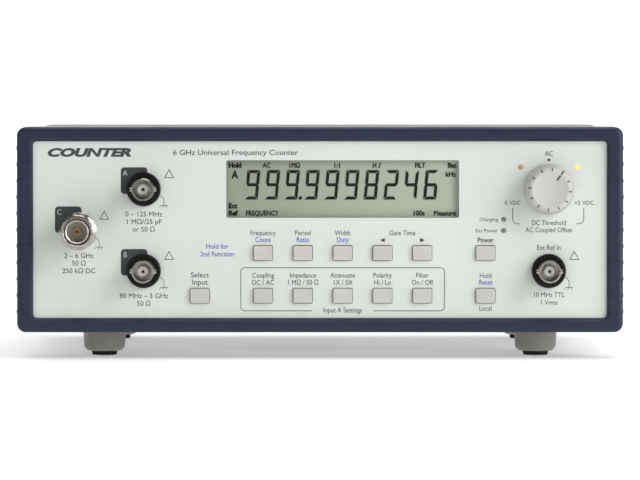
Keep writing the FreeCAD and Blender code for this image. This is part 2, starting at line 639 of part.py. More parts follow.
def n_socket():
    x, z = N_SOCKET_X, N_SOCKET_Z
    base = FACE - 2.4
    lip = [(4.35, 1.35), (4.65, 0.9), (5.1, 1.3), (5.1, 2.2), (5.7, 2.2), (5.7, 0.4), (6.0, 0.0), (6.4, 0.0),
           (6.75, 0.5), (6.75, 2.5), (7.1, 2.5), (N_THREAD_R, 3.3)]
    shell = turned([(r, N_TIP + depth) for r, depth in lip] + [
        (N_THREAD_R, base), (N_RELIEF_R, base), (N_RELIEF_R, FACE), (6.3, FACE), (6.3, FACE + 8), (4.0, FACE + 8), (4.0, N_BACK),
        (3.4, N_BACK), (3.4, N_TIP + 9), (4.35, N_TIP + 9)], x, z)
    save("n_socket_shell", shell)
    insulator = rod(3.4, N_TIP + 9, N_BACK, x, z).fuse(rod(4.3, N_TIP + 8, N_TIP + 9, x, z))
    save("n_socket_insulator", insulator.cut(rod(1.5, N_TIP, N_BACK + 1, x, z)))
    contact = rod(1.5, N_TIP + 5.1, N_BACK, x, z)
    bars = [box(x - 0.15, x + 0.15, N_TIP + 5, N_TIP + 8.5, z - 2, z + 2),
            box(x - 2, x + 2, N_TIP + 5, N_TIP + 8.5, z - 0.15, z + 0.15)]
    save("n_socket_contact", cut(contact, bars + [rod(0.85, N_TIP + 5, N_TIP + 10, x, z)]))
    nut = hexagon(16.5, PANEL_BACK, PANEL_BACK + 3.0, x, z)
    save("n_socket_nut", nut.cut(rod(6.3, PANEL_BACK - 1, PANEL_BACK + 4, x, z)))


def lead(points, radius):
    """Round lead along straight runs joined by tangent arcs."""
    edges, start = [], points[0]
    for before, corner, after in zip(points, points[1:], points[2:]):
        u, w = (before - corner), (after - corner)
        run = min(u.Length, w.Length)
        u.normalize()
        w.normalize()
        setback = 0.45 * run
        first, last = corner + u * setback, corner + w * setback
        half = u.getAngle(w) / 2
        bisector = (u + w).normalize()
        centre_gap = setback / math.cos(half)
        bend = setback * math.tan(half)
        middle = corner + bisector * (centre_gap - bend)
        edges.append(Part.makeLine(start, first))
        edges.append(Part.Arc(first, middle, last).toShape())
        start = last
    edges.append(Part.makeLine(start, points[-1]))
    path = Part.Wire(edges)
    direction = (points[1] - points[0]).normalize()
    section = Part.Wire([Part.makeCircle(radius, points[0], direction)])
    return path.makePipeShell([section], True, True)


def input_c_lead():
    """Coaxial lead from the back of the N socket down to the nearer shield can."""
    start = V(N_SOCKET_X, N_BACK, N_SOCKET_Z)
    route = [start, V(N_SOCKET_X, -70.0, N_SOCKET_Z), V(-98.0, -61.0, MID_Z - 8), V(-90.0, -59.0, MAIN_TOP + 16),
             V(-90.0, -59.0, MAIN_TOP + 8)]
    save("input_c_lead", lead(route, 1.3))


# ---------------------------------------------------------------- boards and what they carry
def on_board(width, depth, height, x, y, radius=0.3):
    return tile(width, depth, radius, MAIN_TOP, MAIN_TOP + height, x, y)


def boards():
    y0, y1 = MAIN_BOARD_Y
    main = box(-MAIN_BOARD_X, MAIN_BOARD_X, y0, y1, MAIN_BOARD_Z, MAIN_TOP)
    save("main_board", cut(main, [post(SCREW_R + 0.1, MAIN_BOARD_Z - 1, MAIN_TOP + 1, x, y) for x, y in BOARD_POSTS]))
    y = DISPLAY_BOARD_Y
    board = box(-62.0, 118.0, y, y + BOARD_T, MID_Z - 37.0, MID_Z + 36.0)
    holes = [rod(SCREW_R + 0.1, y - 1, y + 3, x, z) for x, z in DISPLAY_POSTS]
    holes.append(plate(16.0, 16.0, 1.0, y - 1, y + 3, RIGHT_X, LOWER_Z))
    save("display_board", cut(board, holes))
    link_y = y + BOARD_T
    link = box(-32.0, 14.0, link_y, -72.0, MAIN_TOP, MAIN_TOP + 8.8)
    save("board_connector", link)


def board_parts():
    chips = [(14, 14, 1.6, 22, -22), (20, 20, 1.8, -10, -28), (8, 8, 1.5, 74, 40), (7, 7, 1.2, 60, 72),
             (10, 6, 1.6, -44, -30), (10, 6, 1.6, 50, -30)]
    save("board_chips", [on_board(*chip) for chip in chips])
    cans = [(34, 26, 8, -87, -59), (28, 24, 8, -50, -60)]
    save("shield_cans", [on_board(*can, radius=1.0) for can in cans])
    save("reference_oscillator", on_board(21, 21, 11, 30, 34, 1.5))


def battery():
    """Four AA cells side by side in an open tray."""
    cell_r, cell_length, pitch = 7.25, 50.5, 15.2
    x, first_y, floor = -58.0, 18.0, MAIN_TOP + 1.6
    rows = [first_y + pitch * k for k in range(4)]
    cells, channels = [], []
    for y in rows:
        axis_start = V(x - cell_length / 2, y, floor + cell_r)
        cells.append(Part.makeCylinder(cell_r, cell_length - 1, axis_start, V(1, 0, 0)).fuse(
            Part.makeCylinder(2.7, cell_length, axis_start, V(1, 0, 0))))
        channels.append(Part.makeCylinder(cell_r + 0.1, cell_length + 0.4, axis_start - V(0.2, 0, 0), V(1, 0, 0)))
        channels.append(box(x - cell_length / 2 - 0.2, x + cell_length / 2 + 0.2, y - cell_r - 0.1, y + cell_r + 0.1,
                            floor + cell_r, floor + 40))
    middle = (rows[0] + rows[-1]) / 2
    tray = on_board(cell_length + 5, 3 * pitch + 19, 13.0, x, middle, 2.0)
    save("battery_holder", cut(tray, channels))
    save("battery_cells", cells)


def usb_socket():
    """Square type B socket."""
    z0 = MAIN_TOP
    front, back = REAR_FACE + 0.3, REAR_FACE - 16.0
    shell = box(USB_X - 6, USB_X + 6, back, front, z0, z0 + 11.0)
    z = z0 + 5.6
    corners = [(-4.25, -3.9), (4.25, -3.9), (4.25, 2.2), (2.6, 3.9), (-2.6, 3.9), (-4.25, 2.2)]
    points = [V(USB_X + a, front - 9.0, z + b) for a, b in corners]
    mouth = Part.Face(Part.makePolygon(points + points[:1])).extrude(V(0, 12, 0))
    tongue = box(USB_X - 2.8, USB_X + 2.8, front - 9.5, front - 0.9, z - 1.6, z + 1.6)
    save("usb_socket", shell.cut(mouth).fuse(tongue))


def power_jack():
    """Barrel jack with a round nose through the rear panel and a centre pin."""
    inner_face = REAR_FACE - REAR_PANEL_T
    block = box(JACK_X - 4.7, JACK_X + 4.7, REAR_FACE - 14, inner_face - 0.1, MAIN_TOP, MAIN_TOP + 11.0)
    nose = rod(4.5, inner_face - 1, REAR_FACE + 0.6, JACK_X, JACK_Z)
    body = block.fuse(nose).cut(rod(3.1, REAR_FACE - 9, BACK, JACK_X, JACK_Z))
    pin = fillet(rod(1.05, REAR_FACE - 9.5, REAR_FACE - 0.6, JACK_X, JACK_Z), 0.5, at_y(REAR_FACE - 0.6))
    save("power_jack", body.fuse(pin))


# ---------------------------------------------------------------- feet
def pad_recess(x, y):
    z = PAD_SHOWS
    return [post(PAD_R, z - 1, z + PAD_IN, x, y), post(HEAD_R + 0.3, z, foot_screw_under(), x, y),
            post(SCREW_R + 0.1, z, COVER_BOTTOM + 1, x, y)]


def round_foot(x, y):
    """Round, slightly tapered foot with a wide rounding at the bottom."""
    cone = Part.makeCone(FOOT_R - 0.55, FOOT_R, COVER_BOTTOM - PAD_SHOWS, V(x, y, PAD_SHOWS), V(0, 0, 1))
    return cone.makeFillet(FOOT_ROUND, [e for e in cone.Edges if at_z(PAD_SHOWS)(e)])


def rear_foot(x):
    return cut(round_foot(x, REAR_FOOT_Y), pad_recess(x, REAR_FOOT_Y))


def front_foot(x):
    """Round foot with a narrow tail behind it, slotted for the tilt leg."""
    tail = tile(TAIL_W, TAIL_LENGTH, 2.0, TAIL_BOTTOM, COVER_BOTTOM, x, FRONT_FOOT_Y + TAIL_LENGTH / 2)
    body = round_foot(x, FRONT_FOOT_Y).fuse(tail).removeSplitter()
    slot_front = LEG_PIN_Y - LEG_KNUCKLE_R - LEG_STOP
    slot_back = LEG_PIN_Y + LEG_LENGTH + 1.2
    slot = box(x - SLOT_W / 2, x + SLOT_W / 2, slot_front, slot_back, PAD_SHOWS - 1, SLOT_ROOF)
    scoop = Part.makeCylinder(3.2, SLOT_W, V(x - SLOT_W / 2, slot_back, TAIL_BOTTOM - 0.5), V(1, 0, 0))
    pin_hole = Part.makeCylinder(LEG_PIN_R, TAIL_W + 2, V(x - TAIL_W / 2 - 1, LEG_PIN_Y, LEG_PIN_Z), V(1, 0, 0))
    return cut(body, pad_recess(x, FRONT_FOOT_Y) + [slot, scoop, pin_hole])


def tilt_leg(x):
    """Folding leg, lying back in its slot."""
    thick = 2.5
    end_y = LEG_PIN_Y + LEG_LENGTH
    x0 = x - LEG_W / 2
    knuckle = Part.makeCylinder(LEG_KNUCKLE_R, LEG_W, V(x0, LEG_PIN_Y, LEG_PIN_Z), V(1, 0, 0))
    arm = box(x0, x0 + LEG_W, LEG_PIN_Y, end_y - thick, LEG_PIN_Z - thick, LEG_PIN_Z + thick)
    tip = Part.makeCylinder(thick, LEG_W, V(x0, end_y - thick, LEG_PIN_Z), V(1, 0, 0))
    body = fuse([knuckle, arm, tip])
    relief = box(x0 + 2.2, x0 + LEG_W - 2.2, LEG_PIN_Y + 6, end_y - 6, LEG_PIN_Z + 0.2, LEG_PIN_Z + thick + 1)
    bore = Part.makeCylinder(LEG_PIN_R + 0.05, LEG_W + 2, V(x0 - 1, LEG_PIN_Y, LEG_PIN_Z), V(1, 0, 0))
    return cut(body, [relief, bore])


def pad(x, y):
    disc = post(PAD_R, 0.0, PAD_SHOWS + PAD_IN, x, y)
    return disc.makeFillet(0.8, [e for e in disc.Edges if at_z(0.0)(e)])


def feet():
    sides = (-FOOT_X, FOOT_X)
    save("front_feet", [front_foot(x) for x in sides])
    save("rear_feet", [rear_foot(x) for x in sides])
    save("foot_pads", [pad(x, y) for x, y in foot_positions()])
    save("tilt_leg_left", tilt_leg(-FOOT_X))
    save("tilt_leg_right", tilt_leg(FOOT_X))
    half_pin = TAIL_W / 2 - 0.1
    save("tilt_leg_pins", [Part.makeCylinder(LEG_PIN_R, 2 * half_pin, V(x - half_pin, LEG_PIN_Y, LEG_PIN_Z), V(1, 0, 0))
                           for x in sides])


# ---------------------------------------------------------------- fasteners
def screws():
    """Every screw is the same, wherever it is used."""
    up, down, forward = V(0, 0, 1), V(0, 0, -1), V(0, -1, 0)
    made = [screw(V(x, REAR_FACE, z), forward) for x, z in REAR_CORNERS]
    made += [screw(V(x, y, MID_Z - 4.0), up) for x, y in PILLARS]
    made += [screw(V(x, y, foot_screw_under()), up) for x, y in foot_positions()]
    made += [screw(V(x, y, MAIN_TOP), down) for x, y in BOARD_POSTS]
    made += [screw(V(x, DISPLAY_BOARD_Y + BOARD_T, z), forward) for x, z in DISPLAY_POSTS]
    save("pan_head_screws", made)


def main():
    os.makedirs("parts", exist_ok=True)
    end_frames()
    top_cover()
    bottom_cover()
    panel_overlay()
    front_panel()
    display_window()
    rear_panel()
    keys()
    knob()
    potentiometer()
    lamps()
    display()
    bnc_sockets()
    n_socket()
    input_c_lead()
    boards()
    board_parts()
    battery()
    usb_socket()
    power_jack()
    feet()
    screws()


main()
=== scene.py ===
import json
import math

import bmesh
import bpy
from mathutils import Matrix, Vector


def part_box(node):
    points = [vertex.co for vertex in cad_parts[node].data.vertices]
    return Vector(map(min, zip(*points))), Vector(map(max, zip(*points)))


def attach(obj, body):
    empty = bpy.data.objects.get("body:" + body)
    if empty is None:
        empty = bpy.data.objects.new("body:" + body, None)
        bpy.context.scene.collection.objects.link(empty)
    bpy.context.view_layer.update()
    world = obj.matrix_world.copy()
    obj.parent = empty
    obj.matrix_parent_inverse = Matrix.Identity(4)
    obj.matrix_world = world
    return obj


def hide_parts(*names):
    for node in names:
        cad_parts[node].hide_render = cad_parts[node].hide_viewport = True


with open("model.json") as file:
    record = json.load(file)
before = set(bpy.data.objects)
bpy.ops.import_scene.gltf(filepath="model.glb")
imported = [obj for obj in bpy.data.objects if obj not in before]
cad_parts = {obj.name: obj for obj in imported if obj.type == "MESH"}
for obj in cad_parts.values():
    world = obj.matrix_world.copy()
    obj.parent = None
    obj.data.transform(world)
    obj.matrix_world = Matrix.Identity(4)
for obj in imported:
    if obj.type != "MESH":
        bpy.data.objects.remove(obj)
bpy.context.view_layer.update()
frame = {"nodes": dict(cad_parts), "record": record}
MM = 0.001


# ---------------------------------------------------------------- places taken from the frame
def corners(node):
    lo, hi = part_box(node)
    return Vector(lo), Vector(hi)


def middle(node):
    lo, hi = corners(node)
    return (lo + hi) / 2


FRAME_LO = corners("front_bezel")[0]
MID_Z = middle("front_bezel").z
FACE_Y = corners("panel_overlay")[0].y
REAR_Y = corners("rear_panel")[1].y
LCD_Y = corners("lcd_panel")[0].y
WINDOW = middle("display_window")
KNOB_LO, KNOB_HI = corners("threshold_knob")
KNOB = (KNOB_LO + KNOB_HI) / 2
BNC_NAMES = ("bnc_a", "bnc_b", "bnc_reference")
SOCKETS = {name: middle(f"{name}_shell") for name in (*BNC_NAMES, "n_socket")}
PRINT_T = 0.03 * MM       # thickness of the printed legends
INK_GAP = 0.002 * MM      # between the print and the surface under it


# ---------------------------------------------------------------- materials
class Look:
    """Small helper that builds one node material."""

    def __init__(self, name):
        self.mat = bpy.data.materials.new(name)
        self.mat.use_nodes = True
        self.nodes = self.mat.node_tree.nodes
        self.links = self.mat.node_tree.links
        self.bsdf = self.nodes["Principled BSDF"]
        self.place = self.nodes.new("ShaderNodeTexCoord").outputs["Object"]
        self.bump = None

    def set(self, **values):
        for key, value in values.items():
            self.bsdf.inputs[key.replace("_", " ")].default_value = value
        return self

    def noise(self, size, detail=2.0, roughness=0.5, stretch=None):
        """Noise whose features are about size metres across."""
        node = self.nodes.new("ShaderNodeTexNoise")
        node.inputs["Scale"].default_value = 1.0 / size
        node.inputs["Detail"].default_value = detail
        node.inputs["Roughness"].default_value = roughness
        place = self.place
        if stretch:
            mapping = self.nodes.new("ShaderNodeMapping")
            mapping.inputs["Scale"].default_value = stretch
            self.links.new(self.place, mapping.inputs["Vector"])
            place = mapping.outputs["Vector"]
        self.links.new(place, node.inputs["Vector"])
        return node.outputs["Fac"]

    def span(self, source, low, high, start=0.3, end=0.7):
        """source, from start to end, becomes low to high."""
        node = self.nodes.new("ShaderNodeMapRange")
        values = (("From Min", start), ("From Max", end), ("To Min", low), ("To Max", high))
        for key, value in values:
            node.inputs[key].default_value = value
        self.links.new(source, node.inputs["Value"])
        return node.outputs["Result"]

    def blend(self, factor, first, second):
        """Colour that goes from first to second; each is a colour or a socket."""
        node = self.nodes.new("ShaderNodeMix")
        node.data_type = "RGBA"
        self.links.new(factor, node.inputs["Factor"])
        for socket, value in ((node.inputs[6], first), (node.inputs[7], second)):
            if isinstance(value, bpy.types.NodeSocket):
                self.links.new(value, socket)
            else:
                socket.default_value = (*value, 1.0)
        return node.outputs[2]

    def edges(self, width):
        """1 on edges, 0 on flat surfaces."""
        bevel = self.nodes.new("ShaderNodeBevel")
        bevel.samples = 4
        bevel.inputs["Radius"].default_value = width
        geometry = self.nodes.new("ShaderNodeNewGeometry")
        dot = self.nodes.new("ShaderNodeVectorMath")
        dot.operation = "DOT_PRODUCT"
        self.links.new(bevel.outputs["Normal"], dot.inputs[0])
        self.links.new(geometry.outputs["Normal"], dot.inputs[1])
        return self.span(dot.outputs["Value"], 1.0, 0.0, 0.82, 0.99)

    def paint(self, socket):
        self.links.new(socket, self.bsdf.inputs["Base Color"])

    def rough(self, socket):
        self.links.new(socket, self.bsdf.inputs["Roughness"])

    def raise_by(self, source, height, strength=1.0):
        """Adds a bump of that height in metres."""
        node = self.nodes.new("ShaderNodeBump")
        node.inputs["Distance"].default_value = height
        node.inputs["Strength"].default_value = strength
        self.links.new(source, node.inputs["Height"])
        if self.bump:
            self.links.new(self.bump.outputs["Normal"], node.inputs["Normal"])
        self.bump = node
        self.links.new(node.outputs["Normal"], self.bsdf.inputs["Normal"])


def shade(color, factor):
    return tuple(min(1.0, c * factor) for c in color)


def plastic(name, color, roughness, grain=0.45 * MM, height=0.02 * MM, wear=None, mottling=0.05, gloss=0.45):
    """Moulded plastic: fine grain, slight mottling, and paler rubbed edges where wear is a colour."""
    look = Look(name).set(Specular_IOR_Level=gloss)
    cloud = look.noise(28 * MM, 3.0)
    base = look.blend(look.span(cloud, 0, 1), shade(color, 1 - mottling), shade(color, 1 + mottling))
    if wear:
        patchy = look.noise(5 * MM, 4.0, 0.65)
        edge = look.edges(0.35 * MM)
        both = look.nodes.new("ShaderNodeMath")
        both.operation = "MULTIPLY"
        look.links.new(edge, both.inputs[0])
        look.links.new(look.span(patchy, 0.0, 0.75, 0.35, 0.75), both.inputs[1])
        base = look.blend(both.outputs[0], base, wear)
    look.paint(base)
    fine = look.noise(grain, 3.0, 0.6)
    look.rough(look.span(look.noise(6 * MM, 4.0), roughness - 0.06, roughness + 0.06))
    look.raise_by(fine, height, 0.55)
    return look.mat


def film(name, color):
    """Printed polyester film: smooth, with a soft satin texture."""
    look = Look(name).set(Specular_IOR_Level=0.4)
    look.paint(look.blend(look.span(look.noise(60 * MM, 2.0), 0, 1), shade(color, 0.985), shade(color, 1.015)))
    look.rough(look.span(look.noise(0.6 * MM, 3.0), 0.50, 0.60))
    look.raise_by(look.noise(0.25 * MM, 2.0), 0.006 * MM, 0.5)
    return look.mat


def ink(name, color, roughness=0.5):
    look = Look(name).set(Specular_IOR_Level=0.25)
    look.paint(look.blend(look.span(look.noise(0.5 * MM, 3.0), 0, 1), shade(color, 0.9), shade(color, 1.1)))
    look.rough(look.span(look.noise(1.2 * MM, 2.0), roughness - 0.05, roughness + 0.05))
    return look.mat


def metal(name, color, roughness, tarnish, scratch=0.25 * MM, stretch=None, relief=0.004 * MM):
    """Plated metal with faint tool lines and duller patches."""
    look = Look(name).set(Metallic=1.0)
    cloud = look.span(look.noise(2.5 * MM, 4.0, 0.6), 0, 1, 0.42, 0.72)
    look.paint(look.blend(cloud, color, tarnish))
    look.rough(look.span(look.noise(0.8 * MM, 4.0), roughness - 0.05, roughness + 0.09))
    look.raise_by(look.noise(scratch, 2.0, 0.5, stretch), relief, 0.5)
    return look.mat


def clear_window():
    look = Look("clear_acrylic").set(Base_Color=(0.03, 0.035, 0.03, 1.0), Alpha=0.08, Specular_IOR_Level=0.3)
    look.rough(look.span(look.noise(4 * MM, 4.0), 0.05, 0.11))
    return look.mat


def lcd_reflector():
    """Grey-green reflector with a faint brushed texture, and painted light: its colour grows brighter towards
    the right.
    """
    look = Look("lcd_reflector").set(Specular_IOR_Level=0.25)
    axes = look.nodes.new("ShaderNodeSeparateXYZ")
    look.links.new(look.place, axes.inputs["Vector"])
    # painted light: the colour runs from darker on the left to brighter on the right, as if the lamp on the
    # right lit it more
    across = look.span(axes.outputs["X"], 0, 1, WINDOW.x - 50 * MM, WINDOW.x + 50 * MM)
    base = look.blend(across, (0.37, 0.40, 0.315), (0.59, 0.64, 0.52))
    base = look.blend(look.span(look.noise(40 * MM, 2.0), 0, 0.3), base, (0.52, 0.56, 0.45))
    fleck = look.span(look.noise(0.18 * MM, 2.0, 0.6), 0.0, 0.35, 0.5, 0.75)
    look.paint(look.blend(fleck, base, (0.62, 0.67, 0.54)))
    look.rough(look.span(look.noise(0.4 * MM), 0.5, 0.62))
    return look.mat


def lamp(name, color, glow=0.0):
    """Tinted lamp lens. glow is its light when lit."""
    look = Look(name).set(Subsurface_Weight=0.0, Specular_IOR_Level=0.6)
    look.paint(look.blend(look.span(look.noise(0.7 * MM, 2.0), 0, 1), shade(color, 0.85), color))
    look.rough(look.span(look.noise(0.5 * MM), 0.2, 0.3))
    if glow:
        look.set(Emission_Color=(*color, 1.0), Emission_Strength=glow)
    return look.mat


def board_resist():
    look = Look("solder_resist").set(Specular_IOR_Level=0.5)
    tracks = look.nodes.new("ShaderNodeTexBrick")
    tracks.inputs["Scale"].default_value = 150.0
    tracks.inputs["Mortar Size"].default_value = 0.05
    tracks.inputs["Color1"].default_value = (0.012, 0.11, 0.04, 1)
    tracks.inputs["Color2"].default_value = (0.016, 0.14, 0.05, 1)
    tracks.inputs["Mortar"].default_value = (0.03, 0.21, 0.08, 1)
    look.links.new(look.place, tracks.inputs["Vector"])
    look.paint(look.blend(look.span(look.noise(9 * MM), 0, 0.4), tracks.outputs["Color"], (0.02, 0.16, 0.06)))
    look.rough(look.span(look.noise(3 * MM), 0.25, 0.4))
    return look.mat


def rubber(name, color):
    look = Look(name).set(Specular_IOR_Level=0.3)
    look.paint(look.blend(look.span(look.noise(2 * MM, 4.0), 0, 1), shade(color, 0.8), shade(color, 1.6)))
    look.rough(look.span(look.noise(1 * MM), 0.72, 0.88))
    look.raise_by(look.noise(0.3 * MM, 3.0), 0.02 * MM, 0.6)
    return look.mat


LOOKS = {
    "case_plastic": plastic("case_plastic", (0.45, 0.455, 0.46), 0.52, wear=(0.6, 0.6, 0.6)),
    "frame_plastic": plastic("frame_plastic", (0.018, 0.024, 0.050), 0.36, 0.4 * MM,
                             wear=(0.06, 0.07, 0.11), gloss=0.32),
    "panel_print": film("panel_film", (0.66, 0.69, 0.655)),
    "plate_film": film("plate_film", (0.50, 0.51, 0.51)),
    "panel_moulding": plastic("panel_moulding", (0.45, 0.46, 0.45), 0.55),
    "window": clear_window(),
    "key_plastic": plastic("key_plastic", (0.53, 0.515, 0.485), 0.48, 0.3 * MM, 0.012 * MM,
                           wear=(0.72, 0.70, 0.68)),
    "knob_plastic": plastic("knob_plastic", (0.50, 0.505, 0.475), 0.5, 0.3 * MM, 0.012 * MM,
                            wear=(0.7, 0.7, 0.67)),
    "black_plastic": plastic("black_plastic", (0.008, 0.008, 0.0075), 0.4, 0.3 * MM, 0.015 * MM,
                             wear=(0.05, 0.05, 0.05), gloss=0.18),
    "nickel": metal("nickel_plate", (0.50, 0.475, 0.44), 0.16, (0.34, 0.315, 0.28), relief=0.001 * MM),
    # a much paler copy of the nickel: a painted highlight, for the bright ring on the type N socket's lip
    "painted_highlight_nickel": metal("painted_highlight_nickel", (0.85, 0.83, 0.79), 0.25, (0.7, 0.68, 0.64), relief=0.001 * MM),
    # a darker copy of the nickel: painted shade, for the bayonet sockets' bore linings and the type N socket's
    # body, toning down their reflections
    "painted_shade_nickel": metal("painted_shade_nickel", (0.42, 0.40, 0.365), 0.2, (0.28, 0.26, 0.23), relief=0.001 * MM),
    # a near-black copy of the nickel: painted shade, for the groove of the type N socket
    "painted_deep_shade_nickel": metal("painted_deep_shade_nickel", (0.15, 0.14, 0.125), 0.3, (0.08, 0.07, 0.06), relief=0.001 * MM),
    "gold": metal("gold_plate", (0.42, 0.28, 0.10), 0.25, (0.20, 0.12, 0.05)),
    "white_insulator": plastic("ptfe", (0.97, 0.96, 0.92), 0.3, 0.3 * MM, 0.008 * MM),
    # tan, strongly mottled face for the type N socket's insulator
    "tan_insulator": plastic("tan_ptfe", (0.62, 0.55, 0.43), 0.2, 0.6 * MM, 0.01 * MM, mottling=0.25),
    "steel": metal("zinc_plate", (0.58, 0.58, 0.57), 0.3, (0.45, 0.44, 0.40)),
    "tin": metal("tin_plate", (0.60, 0.61, 0.62), 0.33, (0.48, 0.48, 0.48), stretch=(1.0, 0.1, 1.0)),
    "rubber": rubber("rubber", (0.012, 0.012, 0.012)),
    "foot_plastic": plastic("foot_plastic", (0.33, 0.315, 0.29), 0.5, wear=(0.5, 0.49, 0.46)),
    "circuit_board": board_resist(),
    "lcd_glass": lcd_reflector(),
    "lamp_orange": lamp("lamp_orange", (0.62, 0.33, 0.13)),
    "lamp_yellow": lamp("lamp_yellow", (1.0, 0.64, 0.12), 0.85),
    "lamp_clear": lamp("lamp_clear", (0.20, 0.20, 0.19)),
    "cell_wrap": plastic("cell_wrap", (0.05, 0.22, 0.10), 0.25),
    "lead_jacket": rubber("lead_jacket", (0.02, 0.02, 0.02)),
}
INKS = {
    "dark": ink("ink_dark_grey", (0.060, 0.066, 0.072)),
    "blue": ink("ink_blue", (0.050, 0.060, 0.42)),
    "white": ink("ink_white", (0.80, 0.82, 0.82)),
    "slate": ink("ink_slate", (0.050, 0.057, 0.060), 0.45),
    "lcd": ink("lcd_segment", (0.008, 0.009, 0.008), 0.5),
    "lcd_shadow": ink("lcd_segment_shadow", (0.36, 0.395, 0.31), 0.6),
}


def dress_frame():
    """Every CAD node takes the look of its material slot."""
    for part in frame["record"]["subparts"]:
        node = frame["nodes"][part["node"]]
        node.data.materials.clear()
        node.data.materials.append(LOOKS[part["material_slot"]])


# ---------------------------------------------------------------- mesh helpers
def piece(name, bm, look, body="case", smooth=None):
    """Makes an object from bm, gives it its material and lets it ride on a body."""
    mesh = bpy.data.meshes.new(name)
    bmesh.ops.recalc_face_normals(bm, faces=bm.faces[:])
    bm.to_mesh(mesh)
    bm.free()
    obj = bpy.data.objects.new(name, mesh)
    bpy.context.scene.collection.objects.link(obj)
    mesh.materials.append(look)
    if smooth:
        for polygon in mesh.polygons:
            polygon.use_smooth = True
        mesh.set_sharp_from_angle(angle=math.radians(smooth))
    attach(obj, body)
    return obj


def slab(bm, points, y, thickness=PRINT_T):
    """Closed flat shape from (x, z) points, standing out of the plane at y by thickness, towards the front,
    or towards the rear where thickness is negative."""
    front = y - thickness
    near = [bm.verts.new((x, front, z)) for x, z in points]
    far = [bm.verts.new((x, y - math.copysign(INK_GAP, thickness), z)) for x, z in points]
    bm.faces.new(near)
    bm.faces.new(far[::-1])
    count = len(points)
    for k in range(count):
        following = (k + 1) % count
        bm.faces.new((near[k], far[k], far[following], near[following]))


def stroke(bm, path, width, y, closed=False, thickness=PRINT_T):
    """Line of that width along (x, z) points, with mitred corners."""
    points = [Vector(p) for p in path]
    count = len(points)
    left, right = [], []
    for k, point in enumerate(points):
        before = points[k - 1] if k or closed else point
        after = points[(k + 1) % count] if k < count - 1 or closed else point
        along = (point - before).normalized() + (after - point).normalized()
        along.normalize()
        across = Vector((-along.y, along.x))
        first = (point - before) if (point - before).length else (after - point)
        lean = max(0.3, abs(along.dot(first.normalized())))
        left.append(point + across * (width / 2 / lean))
        right.append(point - across * (width / 2 / lean))
    spans = range(count if closed else count - 1)
    for k in spans:
        following = (k + 1) % count
        slab(bm, [left[k], left[following], right[following], right[k]], y, thickness)


def arc_points(x, z, radius, start, end, steps=8):
    """Points along an arc; angles in degrees, anticlockwise from the right."""
    angles = [math.radians(start + (end - start) * k / steps) for k in range(steps + 1)]
    return [(x + radius * math.cos(a), z + radius * math.sin(a)) for a in angles]


def rounded_points(x, z, width, height, radius):
    points = []
    for sx, sz, start in ((1, 1, 0), (-1, 1, 90), (-1, -1, 180), (1, -1, 270)):
        corner_x, corner_z = x + sx * (width / 2 - radius), z + sz * (height / 2 - radius)
        points += arc_points(corner_x, corner_z, radius, start, start + 90, 6)
    return points


def dot_points(x, z, radius, steps=24):
    return arc_points(x, z, radius, 0, 360, steps)[:-1]


def lathe(profile, centre, steps, shape=None):
    """Closed solid turned about the line along Y through centre. profile is (radius, y) from axis to axis.
    shape(radius, y, angle) may move a point and returns (radius, y)."""
    bm = bmesh.new()
    rings = []
    for radius, y in profile:
        if radius == 0:
            rings.append([bm.verts.new((centre.x, y, centre.z))])
            continue
        ring = []
        for k in range(steps):
            a = 2 * math.pi * k / steps
            r, depth = shape(radius, y, a) if shape else (radius, y)
            ring.append(bm.verts.new((centre.x + r * math.sin(a), depth, centre.z + r * math.cos(a))))
        rings.append(ring)
    pairs = list(zip(rings, rings[1:]))
    if profile[0][0] and profile[-1][0]:
        pairs.append((rings[-1], rings[0]))
    for one, other in pairs:
        for k in range(steps):
            j = (k + 1) % steps
            if len(one) == 1:
                bm.faces.new((one[0], other[k], other[j]))
            elif len(other) == 1:
                bm.faces.new((one[k], other[0], one[j]))
            else:
                bm.faces.new((one[k], other[k], other[j], one[j]))
    return bm


# ---------------------------------------------------------------- lettering
LIGHT, REGULAR, BOLD, HEAVY = -0.018, 0.008, 0.036, 0.060    # how far the outlines move out


def font_mesh(text, weight=REGULAR, italic=0.0):
    """Mesh of some text in the built-in font, one unit per capital's height, centred on x = 0."""
    data = bpy.data.curves.new("text", "FONT")
    data.body = text
    data.size = 1.0
    data.extrude = 0.5
    data.shear = italic
    data.resolution_u = 3
    data.align_x = "CENTER"
    obj = bpy.data.objects.new("text", data)
    bpy.context.scene.collection.objects.link(obj)
    bpy.context.view_layer.update()
    mesh = bpy.data.meshes.new_from_object(obj.evaluated_get(bpy.context.evaluated_depsgraph_get()))
    bpy.data.objects.remove(obj)
    bpy.data.curves.remove(data)
    thicken(mesh, weight)
    return mesh


def thicken(mesh, amount):
    """Moves the outlines of the letters outward by amount."""
    bm = bmesh.new()
    bm.from_mesh(mesh)
    bmesh.ops.remove_doubles(bm, verts=bm.verts[:], dist=1e-5)
    bmesh.ops.recalc_face_normals(bm, faces=bm.faces[:])
    shifts = []
    for v in bm.verts:
        sides = [f.normal for f in v.link_faces if abs(f.normal.z) < 0.5]
        total = sum(sides, Vector()) / max(1, len(sides))
        shifts.append(total * amount / max(0.4, total.length_squared))
    for v, shift in zip(bm.verts, shifts):
        v.co += shift
    bm.to_mesh(mesh)
    bm.free()


def capital_height():
    mesh = font_mesh("H")
    heights = [v.co.y for v in mesh.vertices]
    return max(heights) - min(heights)


CAPITAL = capital_height()
SQUEEZE = 0.87            # letters' width as a share of the font's


